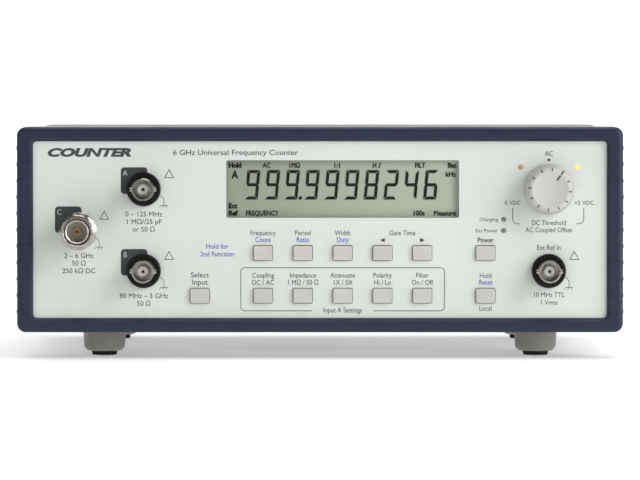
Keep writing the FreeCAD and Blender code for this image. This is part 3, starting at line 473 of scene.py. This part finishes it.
def write(bm, text, x, z, cap, y=FACE_Y, weight=REGULAR, squeeze=SQUEEZE, italic=0.0, side=1):
    """Adds text to bm, centred on x with its capitals, cap high, centred on z.
    side -1 writes it on a face that looks to the rear."""
    mesh = font_mesh(text, weight, italic)
    scale = cap / CAPITAL
    for v in mesh.vertices:
        u, h, depth = v.co
        lift = INK_GAP + (depth + 0.5) * (PRINT_T - INK_GAP)
        v.co = (x + side * u * scale * squeeze, y - side * lift, z - cap / 2 + h * scale)
    bm.from_mesh(mesh)
    bpy.data.meshes.remove(mesh)


# ---------------------------------------------------------------- front panel print
CAP = 2.1 * MM
SMALL_CAP = 1.5 * MM
LINE = 0.32 * MM
KEY_FIRST, KEY_SECOND = 8.45 * MM, 5.5 * MM


def key_place(key):
    place = middle(f"button_{key}")
    return place.x, place.z


def key_legends(dark, blue):
    upper = {"frequency": ("Frequency", "Count"), "period": ("Period", "Ratio"), "width": ("Width", "Duty")}
    for key, (first, second) in upper.items():
        x, z = key_place(key)
        write(dark, first, x, z + KEY_FIRST + 0.2 * MM, CAP)
        write(blue, second, x, z + KEY_SECOND + 0.3 * MM, CAP)
    lower = {"coupling": ("Coupling", "DC / AC"), "impedance": ("Impedance", "1 MΩ / 50 Ω"),
             "attenuate": ("Attenuate", "1X / 5X"), "polarity": ("Polarity", "Hi / Lo"),
             "filter": ("Filter", "On / Off")}
    for key, (first, second) in lower.items():
        x, z = key_place(key)
        write(dark, first, x, z + KEY_FIRST + 0.35 * MM, CAP)
        write(dark, second, x, z + KEY_SECOND + 0.25 * MM, CAP)
    x, z = key_place("select_input")
    write(dark, "Select", x, z + KEY_FIRST + 0.5 * MM, 1.08 * CAP, squeeze=1.0)
    write(dark, "Input", x, z + KEY_SECOND + 0.4 * MM, 1.08 * CAP, squeeze=1.0)
    x, z = key_place("hold")
    write(dark, "Hold", x, z + KEY_FIRST + 0.2 * MM, CAP)
    write(blue, "Reset", x, z + KEY_SECOND + 0.35 * MM, CAP)
    write(dark, "Local", x, z - 5.35 * MM, CAP)
    x, z = key_place("power")
    write(dark, "Power", x, z + 5.6 * MM, CAP, weight=0.022)
    down, z = key_place("gate_time_down")
    up, z = key_place("gate_time_up")
    write(dark, "Gate Time", (down + up) / 2, z + KEY_FIRST + 0.2 * MM, CAP)
    for x, way in ((down, -1), (up, 1)):
        arrow = [(x + way * 1.1 * MM, z + KEY_SECOND), (x - way * 1.0 * MM, z + KEY_SECOND + 1.0 * MM),
                 (x - way * 1.0 * MM, z + KEY_SECOND - 1.0 * MM)]
        slab(dark, arrow, FACE_Y)
    write(blue, "Hold for", -44.1 * MM, MID_Z - 7.1 * MM, CAP, squeeze=0.92)
    write(blue, "2nd Function", -44.1 * MM, MID_Z - 10.4 * MM, CAP, squeeze=0.92)


def settings_outline(dark):
    """Line round the lower row of keys, open at the foot where its title stands."""
    x, key_z = key_place("attenuate")
    half, top, bottom, radius, gap = 43.6 * MM, key_z + 12.0 * MM, key_z - 6.5 * MM, 1.7 * MM, 13.2 * MM
    title_z = key_z - 6.15 * MM
    write(dark, "Input A Settings", x, title_z, CAP)
    path = [(x + gap, bottom)]
    path += arc_points(x + half - radius, bottom + radius, radius, -90, 0)
    path += arc_points(x + half - radius, top - radius, radius, 0, 90)
    path += arc_points(x - half + radius, top - radius, radius, 90, 180)
    path += arc_points(x - half + radius, bottom + radius, radius, 180, 270)
    path += [(x - gap, bottom)]
    stroke(dark, path, LINE, FACE_Y)


def knob_legends(dark):
    x, z = KNOB.x, KNOB.z
    write(dark, "AC", x, z + 15.35 * MM, CAP)
    slab(dark, dot_points(x, z + 12.6 * MM, 0.65 * MM), FACE_Y)
    write(dark, "0 VDC", x - 15.5 * MM, z - 5.75 * MM, SMALL_CAP * 1.15, squeeze=1.0)
    write(dark, "+2 VDC", x + 15.1 * MM, z - 5.75 * MM, SMALL_CAP * 1.15, squeeze=1.0)
    write(dark, "DC Threshold", x, z - 14.3 * MM, CAP, squeeze=0.84)
    write(dark, "AC Coupled Offset", x, z - 17.35 * MM, CAP, squeeze=0.84)
    for way, reach in ((-1, 15.5 * MM), (1, 14.95 * MM)):
        top, foot, radius = z - 7.9 * MM, z - 14.8 * MM, 2.1 * MM
        side = x + way * reach
        bend = [(side - way * radius * (1 - math.cos(a)), foot + radius * (1 - math.sin(a)))
                for a in (math.radians(11.25 * k) for k in range(9))]
        stroke(dark, [(side, top)] + bend + [(side - way * 3.1 * MM, foot)], LINE, FACE_Y)


def lamp_legends(dark):
    lo, hi = corners("status_leds")
    right = lo.x - 0.35 * MM
    lines = (("Charging", hi.z - 1.45 * MM, 9.3 * MM), ("Ext Power", lo.z + 1.45 * MM, 11.2 * MM))
    for text, z, width in lines:
        write(dark, text, right - width / 2, z, SMALL_CAP, squeeze=1.04)


def socket_legends(dark):
    rows = {
        "bnc_a": ("0 – 125 MHz", "1 MΩ//25 pF", "or 50 Ω"),
        "bnc_b": ("80 MHz – 3 GHz", "50 Ω"),
        "n_socket": ("2 – 6 GHz", "50 Ω", "250 kΩ DC"),
        "bnc_reference": ("10 MHz TTL", "1 Vrms"),
    }
    for name, lines in rows.items():
        place = SOCKETS[name]
        for k, text in enumerate(lines):
            wide = SQUEEZE if name == "bnc_reference" else 1.0
            lift = 0.6 * MM if name == "bnc_reference" else 0.2 * MM
            write(dark, text, place.x, place.z - (10.8 + 3.25 * k) * MM + lift, CAP, squeeze=wide)
    place = SOCKETS["bnc_reference"]
    write(dark, "Ext Ref In", place.x, place.z + 10.1 * MM, CAP)
    for place in SOCKETS.values():
        plain_triangle(dark, place.x + 10.9 * MM, place.z + 6.45 * MM)
        earth_sign(dark, place.x, place.z)


def plain_triangle(bm, x, z):
    half, up, down = 1.9 * MM, 1.9 * MM, -1.5 * MM
    stroke(bm, [(x - half, z + down), (x + half, z + down), (x, z + up)], 0.32 * MM, FACE_Y, closed=True)


def earth_sign(bm, x, z):
    """Curve from the socket's rim to a chassis earth sign below it on the right."""
    bar_z, bar_x = z - 7.0 * MM, x + 8.7 * MM
    curve = arc_points(x + 6.2 * MM, z - 5.1 * MM, 2.5 * MM, 70, 0, 6)
    stroke(bm, curve + [(bar_x, bar_z)], 0.24 * MM, FACE_Y)
    stroke(bm, [(bar_x - 1.6 * MM, bar_z), (bar_x + 1.6 * MM, bar_z)], 0.26 * MM, FACE_Y)
    for k in (-1, 0, 1):
        top = bar_x + 1.4 * k * MM
        stroke(bm, [(top, bar_z), (top - 0.6 * MM, bar_z - 0.95 * MM)], 0.22 * MM, FACE_Y)


def socket_plates():
    """Dark label plates behind the three input sockets, with their letters."""
    plates, letters = bmesh.new(), bmesh.new()
    side, radius = 11.4 * MM, 1.5 * MM
    rows = (("bnc_a", "A", 4.1, 3.7), ("bnc_b", "B", 4.1, 3.7), ("n_socket", "C", 4.5, 4.75))
    for name, letter, left, lift in rows:
        place = SOCKETS[name]
        slab(plates, rounded_points(place.x - left * MM, place.z + lift * MM, side, side, radius), FACE_Y)
        write(letters, letter, place.x - (left + 3.8) * MM, place.z + (lift + 3.3) * MM, 2.4 * MM,
              FACE_Y - PRINT_T, LIGHT)
    piece("panel_print_plates", plates, INKS["slate"])
    piece("panel_print_letters", letters, INKS["white"])


def panel_print():
    dark, blue = bmesh.new(), bmesh.new()
    key_legends(dark, blue)
    settings_outline(dark)
    knob_legends(dark)
    lamp_legends(dark)
    socket_legends(dark)
    title_z = MID_Z + 33.1 * MM
    write(dark, "COUNTER", -99.2 * MM, title_z, 3.3 * MM, weight=HEAVY, italic=0.25, squeeze=1.6)
    write(dark, "6 GHz Universal Frequency Counter", -36.2 * MM, title_z, 2.3 * MM, squeeze=1.09)
    piece("panel_print_dark", dark, INKS["dark"])
    piece("panel_print_blue", blue, INKS["blue"])
    socket_plates()


# ---------------------------------------------------------------- liquid-crystal reading
READING = "999.9998246"
SEGMENTS = {"2": "abged", "4": "fgbc", "6": "afgedc", "8": "abcdefg", "9": "abcdfg"}
DIGIT_W, DIGIT_H, STROKE_W, SEGMENT_GAP = 5.6 * MM, 12.6 * MM, 1.3 * MM, 0.14 * MM
SLANT = math.tan(math.radians(5.5))
DIGIT_PITCH = 8.5 * MM
FIRST_DIGIT_X = -38.6 * MM     # from the middle of the window
DIGIT_Z = 1.8 * MM


def segment_outline(which):
    """(x, z) outline of one segment, about the middle of its digit, upright."""
    w, h, t, g = DIGIT_W / 2, DIGIT_H / 2, STROKE_W, SEGMENT_GAP
    if which == "g":
        return [(-w + g + t * 0.1, 0), (-w + t * 0.65, t / 2), (w - t * 0.65, t / 2), (w - g - t * 0.1, 0),
                (w - t * 0.65, -t / 2), (-w + t * 0.65, -t / 2)]
    if which in "ad":
        shape = [(-w + g, h), (w - g, h), (w - t - g, h - t), (-w + t + g, h - t)]
        return shape if which == "a" else [(x, -z) for x, z in shape[::-1]]
    shape = [(w, h - g), (w, g + t * 0.25), (w - t * 0.5, g), (w - t, t * 0.5 + g), (w - t, h - t - g)]
    if which in "ce":
        shape = [(x, -z) for x, z in shape[::-1]]
    if which in "fe":
        shape = [(-x, z) for x, z in shape[::-1]]
    return shape


def lean(points, x, z):
    return [(x + px + pz * SLANT, z + pz) for px, pz in points]


def digits(bm, y, dx=0.0, dz=0.0):
    x = WINDOW.x + FIRST_DIGIT_X + dx
    z = WINDOW.z + DIGIT_Z + dz
    for mark in READING:
        if mark == ".":
            spot = (x - DIGIT_PITCH / 2 - 0.75 * MM, z - DIGIT_H / 2 + 0.65 * MM)
            slab(bm, rounded_points(*spot, 1.35 * MM, 1.35 * MM, 0.2 * MM), y)
            continue
        for which in SEGMENTS[mark]:
            slab(bm, lean(segment_outline(which), x, z), y)
        x += DIGIT_PITCH


def annunciators(bm, y, dx=0.0, dz=0.0):
    rows = (
        (10.2, 2.05, ((-46.1, "Hold", HEAVY), (-32.6, "AC", BOLD), (-20.7, "1MΩ", BOLD), (-2.3, "1:1", BOLD),
                      (13.7, "H", BOLD), (33.2, "FILT", BOLD), (46.9, "Bat", BOLD))),
        (6.4, 2.05, ((46.4, "kHz", BOLD),)),
        (6.2, 3.1, ((-46.2, "A", HEAVY),)),
        (-7.2, 2.05, ((-47.1, "Ext", HEAVY),)),
        (-10.3, 2.05, ((-47.0, "Ref", HEAVY), (-34.5, "FREQUENCY", BOLD), (32.6, "100s", BOLD),
                       (43.8, "Measure", BOLD))),
    )
    for z, cap, words in rows:
        for x, text, weight in words:
            squeeze = 0.84 if text.isupper() else 0.95
            write(bm, text, WINDOW.x + x * MM + dx, WINDOW.z + z * MM + dz, cap * MM, y, weight,
                  squeeze)
    edge_x, edge_z = WINDOW.x + 15.9 * MM + dx, WINDOW.z + 10.2 * MM + dz
    rise = [(edge_x - 0.7 * MM, edge_z - 0.9 * MM), (edge_x, edge_z - 0.9 * MM), (edge_x, edge_z + 0.9 * MM),
            (edge_x + 0.7 * MM, edge_z + 0.9 * MM)]
    stroke(bm, rise, 0.38 * MM, y)


def lcd_reading():
    """Segments on the glass, and the faint shadow that they throw on the reflector."""
    ink_y = LCD_Y - 0.05 * MM
    shown, shadow = bmesh.new(), bmesh.new()
    digits(shown, ink_y)
    annunciators(shown, ink_y)
    digits(shadow, LCD_Y, -0.3 * MM, -0.32 * MM)
    annunciators(shadow, LCD_Y, -0.25 * MM, -0.27 * MM)
    piece("lcd_segments", shown, INKS["lcd"])
    piece("lcd_segment_shadows", shadow, INKS["lcd_shadow"])


# ---------------------------------------------------------------- knob
KNOB_REST = 35.5          # pointer, degrees clockwise from the top at rest
SERRATIONS = 90
DISH_R, DISH_DEPTH, RIM_R = 7.7 * MM, 1.0 * MM, 10.0 * MM


def knob():
    """Knob with a dished front, a serrated skirt, tick marks and a pointer line."""
    front = KNOB_LO.y
    outer = (KNOB_HI.x - KNOB_LO.x) / 2
    edge, rim, groove, depth = DISH_R, RIM_R, 0.16 * MM, DISH_DEPTH
    face = FACE_Y - 0.7 * MM
    profile = [(0, front + depth)]
    for k in range(1, 9):
        r = edge * k / 9
        profile.append((r, front + depth * (1 - (r / edge) ** 2)))
    profile += [(edge - 0.25 * MM, front + 0.07 * MM), (edge, front), (edge + 0.3 * MM, front + 0.08 * MM)]
    bend = 10
    for k in range(bend + 1):
        a = math.pi / 2 * k / bend
        r = edge + 0.5 * MM + (rim - edge - 0.5 * MM) * math.sin(a)
        profile.append((r, front + 0.25 * MM + 3.2 * MM * (1 - math.cos(a))))
    profile += [(rim + (outer - rim) * 0.5, face - 3.0 * MM), (outer, face - 0.9 * MM),
                (outer, face - 0.4 * MM),
                (outer - 0.4 * MM, face), (7.3 * MM, face), (7.3 * MM, face - 3.4 * MM),
                (3.1 * MM, face - 3.4 * MM),
                (3.1 * MM, face - 10.0 * MM), (0, face - 10.0 * MM)]
    skirt_from, skirt_to = edge + 0.45 * MM, face - 1.6 * MM

    def serrated(radius, y, angle):
        if radius > skirt_from and y < skirt_to and y > front + 0.2 * MM:
            radius -= groove * (0.5 - 0.5 * math.cos(angle * SERRATIONS))
        return radius, y

    obj = piece("knob_body", lathe(profile, KNOB, SERRATIONS * 4, serrated), LOOKS["knob_plastic"],
                "threshold_control", smooth=50)
    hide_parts("threshold_knob")
    knob_marks(front)


def surface_bar(bm, angle, stations, width):
    """Thin bar that follows the knob's surface along one radius. stations are (radius, y)."""
    a = math.radians(angle)
    out, across = Vector((math.sin(a), 0, math.cos(a))), Vector((math.cos(a), 0, -math.sin(a)))
    lower, upper = [], []
    for radius, y in stations:
        centre = Vector((KNOB.x, y, KNOB.z)) + out * radius
        for side in (-1, 1):
            spot = centre + across * (side * width / 2)
            lower.append(bm.verts.new(spot + Vector((0, 0.10 * MM, 0)) - out * 0.05 * MM))
            upper.append(bm.verts.new(spot + Vector((0, -0.05 * MM, 0)) + out * 0.03 * MM))
    count = len(stations)
    for k in range(count - 1):
        a0, a1, b0, b1 = 2 * k, 2 * k + 1, 2 * k + 2, 2 * k + 3
        bm.faces.new((upper[a0], upper[a1], upper[b1], upper[b0]))
        bm.faces.new((lower[a0], lower[b0], lower[b1], lower[a1]))
        bm.faces.new((upper[a0], upper[b0], lower[b0], lower[a0]))
        bm.faces.new((upper[a1], lower[a1], lower[b1], upper[b1]))
    for k in (0, 2 * count - 2):
        bm.faces.new((upper[k], lower[k], lower[k + 1], upper[k + 1]))


def knob_skirt_y(radius, front):
    """Y of the knob's rounded shoulder at a radius."""
    edge, rim = 8.2 * MM, RIM_R
    share = min(1.0, max(0.0, (radius - edge) / (rim - edge)))
    if radius > edge:
        return front + 0.25 * MM + 3.2 * MM * (1 - math.sqrt(1 - share ** 2))
    return front + 0.1 * MM


def knob_marks(front):
    """Eleven ticks on the shoulder, and the pointer line from the dish to the rim."""
    bm = bmesh.new()
    for k in range(1, 12):
        radii = [(7.9 + 0.27 * j) * MM for j in range(6)]
        surface_bar(bm, KNOB_REST + 30 * k, [(r, knob_skirt_y(r, front)) for r in radii], 0.5 * MM)
    dish = [(r * MM, front + DISH_DEPTH * (1 - (r * MM / DISH_R) ** 2)) for r in (4.9, 5.6, 6.3, 6.9, 7.3)]
    shoulder = [(r * MM, knob_skirt_y(r * MM, front)) for r in (7.7, 8.1, 8.5, 8.9, 9.3, 9.7, 9.95)]
    surface_bar(bm, KNOB_REST, dish + shoulder, 0.75 * MM)
    piece("knob_marks", bm, INKS["dark"], "threshold_control")


# ---------------------------------------------------------------- sockets
def bnc_insides():
    """Lining of the bore, rounded insulator and recessed contact of each bayonet socket."""
    tip = corners("bnc_a_shell")[0].y
    # (radius, depth behind the tip), in mm
    liner = [(3.99, -0.03), (4.5, -0.03), (4.5, 0.0), (4.04, 0.01),
             (4.04, 9.9), (2.95, 9.9), (2.95, 9.6), (3.9, 9.6)]
    insulator = [(0.62, 4.95), (0.85, 4.55), (2.2, 4.75), (2.5, 5.15), (2.55, 5.9), (2.8, 6.0),
                 (2.85, 6.2), (2.85, 9.5), (1.02, 9.5), (1.02, 6.1), (0.62, 6.1)]
    contact = [(0.66, 6.15), (1.0, 6.15), (1.0, 9.5), (0.66, 9.5)]
    # the liner takes the darker nickel copy: painted shade inside the bore
    kinds = (("liner", liner, "painted_shade_nickel", None),
             ("insulator", insulator, "white_insulator", "bnc_insulators"),
             ("contact", contact, "gold", "bnc_contacts"))
    for kind, profile, slot, node in kinds:
        for name in BNC_NAMES:
            rings = [(radius * MM, tip + depth * MM) for radius, depth in profile]
            obj = piece(f"{name}_{kind}", lathe(rings, SOCKETS[name], 64), LOOKS[slot], smooth=35)
            if node and name == BNC_NAMES[0]:
                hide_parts(node)


def n_insides():
    """Face of the insulator, groove with painted shade and inner ring with a painted highlight, of the type N
    socket.
    """
    tip = corners("n_socket_shell")[0].y
    centre = SOCKETS["n_socket"]
    # (radius, depth behind the tip), in mm
    face = [(1.56, 8.1), (1.8, 7.95), (3.9, 7.95), (4.25, 8.1), (4.28, 8.9), (1.56, 8.9)]
    groove = [(5.12, 1.35), (5.68, 1.35), (5.68, 2.18), (5.12, 2.18)]
    ring = [(4.36, 1.3), (4.5, 0.95), (4.7, 0.82), (4.95, 0.88), (5.12, 1.1), (5.12, 1.4), (4.36, 1.4)]
    # the groove's near-black nickel copy is painted shade in the recess
    kinds = (("face", face, "tan_insulator"), ("groove", groove, "painted_deep_shade_nickel"),
             # the ring takes the paler nickel copy: a painted highlight on the lip
             ("ring", ring, "painted_highlight_nickel"))
    for name, profile, slot in kinds:
        rings = [(r * MM, tip + y * MM) for r, y in profile]
        piece(f"n_socket_{name}", lathe(rings, centre, 96), LOOKS[slot], smooth=35)


def n_socket():
    """Type N socket with its thread, rounded lip and bright bore."""
    lo, hi = corners("n_socket_shell")
    tip, back = lo.y, hi.y
    centre = SOCKETS["n_socket"]
    base = FACE_Y - 2.4 * MM
    crest, root = 7.94 * MM, 7.35 * MM
    pitch, start, turns = 1.058 * MM, tip + 2.9 * MM, 10
    lip = [(4.35, 2.6), (4.35, 1.35), (4.45, 1.05), (4.65, 0.9), (4.9, 0.95), (5.05, 1.15), (5.1, 1.5),
           (5.1, 2.2), (5.7, 2.2), (5.7, 0.5), (5.8, 0.15), (6.0, 0.0), (6.4, 0.0), (6.65, 0.12),
           (6.75, 0.4), (6.75, 2.4)]
    profile = [(r * MM, tip + y * MM) for r, y in lip]
    thread = []
    for turn in range(turns):
        y = start + pitch * turn
        thread += [(root, y), (crest, y + 0.42 * pitch), (crest, y + 0.58 * pitch)]
    nose_back, seat = FACE_Y + 8 * MM, tip + 9 * MM
    neck = [(7.3 * MM, base), (7.3 * MM, FACE_Y), (6.3 * MM, FACE_Y), (6.3 * MM, nose_back),
            (4.0 * MM, nose_back), (4.0 * MM, back), (3.4 * MM, back), (3.4 * MM, seat), (4.35 * MM, seat)]
    profile += thread + [(root, start + pitch * turns)] + neck
    first, last = start - 0.01 * MM, start + pitch * turns + 0.01 * MM

    def helix(radius, y, angle):
        """Shears the thread's rings into a helix that runs out at both ends."""
        if first < y < last and radius > root - 0.01 * MM:
            run_out = min(1.0, (y - first) / pitch, (last - y) / pitch)
            y += pitch * (angle / (2 * math.pi) - 0.5) * run_out
        return radius, y

    # the socket takes the darker nickel copy: painted shade that tones down its reflections
    obj = piece("n_socket_threaded", lathe(profile, centre, 96, helix), LOOKS["painted_shade_nickel"],
                smooth=35)
    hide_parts("n_socket_shell")


def collars():
    """Round socket nuts with knurled edges."""
    front = corners("bnc_collars")[0].y
    radius, flutes, flute_depth = 7.35 * MM, 36, 0.22 * MM
    profile = [(4.98 * MM, FACE_Y), (4.98 * MM, front + 0.45 * MM), (5.3 * MM, front + 0.35 * MM),
               (5.9 * MM, front + 0.3 * MM), (6.1 * MM, front), (6.75 * MM, front),
               (7.1 * MM, front + 0.12 * MM), (7.3 * MM, front + 0.45 * MM), (radius, front + 0.8 * MM),
               (radius, FACE_Y)]

    def fluted(r, y, angle):
        if r > 7.25 * MM and y < FACE_Y - 0.1 * MM:
            r -= flute_depth * (0.5 + 0.5 * math.cos(angle * flutes)) ** 3
        return r, y

    for name in BNC_NAMES:
        obj = piece(f"{name}_collar", lathe(profile, SOCKETS[name], flutes * 6, fluted),
                    LOOKS["black_plastic"], smooth=40)
        if name == "bnc_a":
            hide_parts("bnc_collars")


# ---------------------------------------------------------------- rear panel print
def rear_print():
    """Legends of the sockets behind, a plain rating plate and the polarity sign."""
    dark = bmesh.new()
    usb, jack = middle("usb_socket"), middle("power_jack")

    def words(text, x, z, cap, weight=REGULAR, y=REAR_Y):
        write(dark, text, x, z, cap, y, weight, side=-1)

    words("USB", usb.x, usb.z + 9.6 * MM, CAP, BOLD)
    words("DC IN", jack.x, jack.z + 9.8 * MM, CAP, BOLD)
    sign_z, sign_line = jack.z - 8.4 * MM, 0.3 * MM
    words("+      –", jack.x, sign_z, CAP, BOLD)
    for x in (jack.x - 1.6 * MM, jack.x + 1.6 * MM):
        stroke(dark, [(x - 1.2 * MM, sign_z), (x + 1.2 * MM, sign_z)], sign_line, REAR_Y, thickness=-PRINT_T)
    stroke(dark, dot_points(jack.x, sign_z, 1.0 * MM), sign_line, REAR_Y, closed=True, thickness=-PRINT_T)
    # the plate lies in its recess, and its print on the plate
    plate_x, plate_z, plate_y, plate_t = 45 * MM, MID_Z + 8 * MM, REAR_Y - 0.5 * MM, 0.25 * MM
    plate = bmesh.new()
    slab(plate, rounded_points(plate_x, plate_z, 69.4 * MM, 25.4 * MM, 1.3 * MM), plate_y, -plate_t)
    piece("rating_plate", plate, LOOKS["plate_film"])
    lines = (("Frequency Counter", 7.6, 2.7, HEAVY), ("Input  9 – 15 V DC    0.5 A", 2.6, 2.1, REGULAR),
             ("Batteries  4 × AA", -1.6, 2.1, REGULAR), ("Inputs A, B, C   3 V rms max", -5.8, 2.1, REGULAR))
    for text, lift, cap, weight in lines:
        words(text, plate_x, plate_z + lift * MM, cap * MM, weight, plate_y + plate_t)
    edge = rounded_points(plate_x, plate_z, 66.4 * MM, 22.4 * MM, 1.0 * MM)
    stroke(dark, edge, 0.25 * MM, plate_y + plate_t, closed=True, thickness=-PRINT_T)
    piece("rear_print_dark", dark, INKS["dark"])


# ---------------------------------------------------------------- surroundings
FLOOR_HALF, FLOOR_BACK = 9.0, 4.6      # metres
BACKDROP_Y, BACKDROP_TOP = 4.5, 6.0


def stage_sheet(name, outline, look):
    """Flat sheet of the studio, which isn't part of the object."""
    bm = bmesh.new()
    bm.faces.new([bm.verts.new(place) for place in outline])
    mesh = bpy.data.meshes.new(name)
    bm.to_mesh(mesh)
    bm.free()
    obj = bpy.data.objects.new(name, mesh)
    bpy.context.scene.collection.objects.link(obj)
    mesh.materials.append(look.mat)


def floor():
    """Pale paper that fades to grey well in front of the object."""
    look = Look("floor_paper").set(Emission_Color=(1, 1, 1, 1))
    axes = look.nodes.new("ShaderNodeSeparateXYZ")
    look.links.new(look.place, axes.inputs["Vector"])
    near = look.span(axes.outputs["Y"], 0, 1, -1.7, -0.9)
    look.links.new(look.span(near, 0.16, 0.30, 0, 1), look.bsdf.inputs["Emission Strength"])
    paper = look.blend(look.span(look.noise(0.4, 2.0), 0, 1), (0.90, 0.90, 0.90), (0.93, 0.93, 0.93))
    look.paint(look.blend(near, (0.06, 0.06, 0.06), paper))
    look.rough(look.span(look.noise(0.01), 0.7, 0.8))
    half, back = FLOOR_HALF, FLOOR_BACK
    stage_sheet("floor", ((-half, -half, 0), (half, -half, 0), (half, back, 0), (-half, back, 0)), look)


def backdrop():
    """White paper lit from behind, far behind the object."""
    look = Look("backdrop_paper").set(Emission_Color=(1, 1, 1, 1), Emission_Strength=1.0)
    half, far, top = FLOOR_HALF, BACKDROP_Y, BACKDROP_TOP
    stage_sheet("backdrop", ((-half, far, 0), (half, far, 0), (half, far, top), (-half, far, top)), look)


def area_light(name, place, target, size, power):
    data = bpy.data.lights.new(name, "AREA")
    data.shape = "RECTANGLE"
    data.size, data.size_y = size
    data.energy = power
    obj = bpy.data.objects.new(name, data)
    obj.location = place
    obj.rotation_euler = (Vector(target) - Vector(place)).to_track_quat("-Z", "Y").to_euler()
    bpy.context.scene.collection.objects.link(obj)


def lights():
    world = bpy.data.worlds.new("studio")
    world.use_nodes = True
    background = world.node_tree.nodes["Background"]
    background.inputs["Color"].default_value = (1.0, 1.0, 1.0, 1.0)
    background.inputs["Strength"].default_value = 0.13
    bpy.context.scene.world = world
    panel, panel_foot, foot, middle_height = (0, FACE_Y, MID_Z), (0, FACE_Y, 0.02), (0, 0, 0), (0, 0, MID_Z)
    # name, place, aim, size in metres, watts
    area_light("key_light", (1.5, -1.4, 1.15), panel, (0.9, 0.9), 22.5)
    area_light("side_light", (2.2, -0.9, 0.5), panel, (0.7, 1.0), 11)
    area_light("low_light", (1.5, -1.9, 0.32), panel_foot, (1.2, 0.4), 7)
    area_light("fill_light", (-1.7, -1.8, 0.7), panel, (1.3, 0.9), 6.5)
    area_light("top_light", (0.3, -0.1, 2.4), foot, (2.2, 1.6), 25)
    area_light("back_light", (-0.9, 1.9, 1.2), middle_height, (1.2, 0.8), 8)


def camera():
    """Long lens, a little above the object's middle, straight at the front."""
    distance, lens, height, drop = 2.1, 276.3, 55 * MM, 4.35 * MM
    data = bpy.data.cameras.new("camera")
    data.lens = lens
    data.sensor_width = 36.0
    data.clip_end = 50.0
    obj = bpy.data.objects.new("camera", data)
    target = Vector((0, FRAME_LO.y, MID_Z - drop))
    obj.location = (0, FRAME_LO.y - distance, MID_Z + height)
    obj.rotation_euler = (target - obj.location).to_track_quat("-Z", "Y").to_euler()
    bpy.context.scene.collection.objects.link(obj)
    bpy.context.scene.camera = obj


def main():
    dress_frame()
    panel_print()
    lcd_reading()
    knob()
    bnc_insides()
    n_insides()
    n_socket()
    collars()
    rear_print()
    floor()
    backdrop()
    lights()
    camera()
    bpy.context.scene.view_settings.view_transform = "Standard"


main()
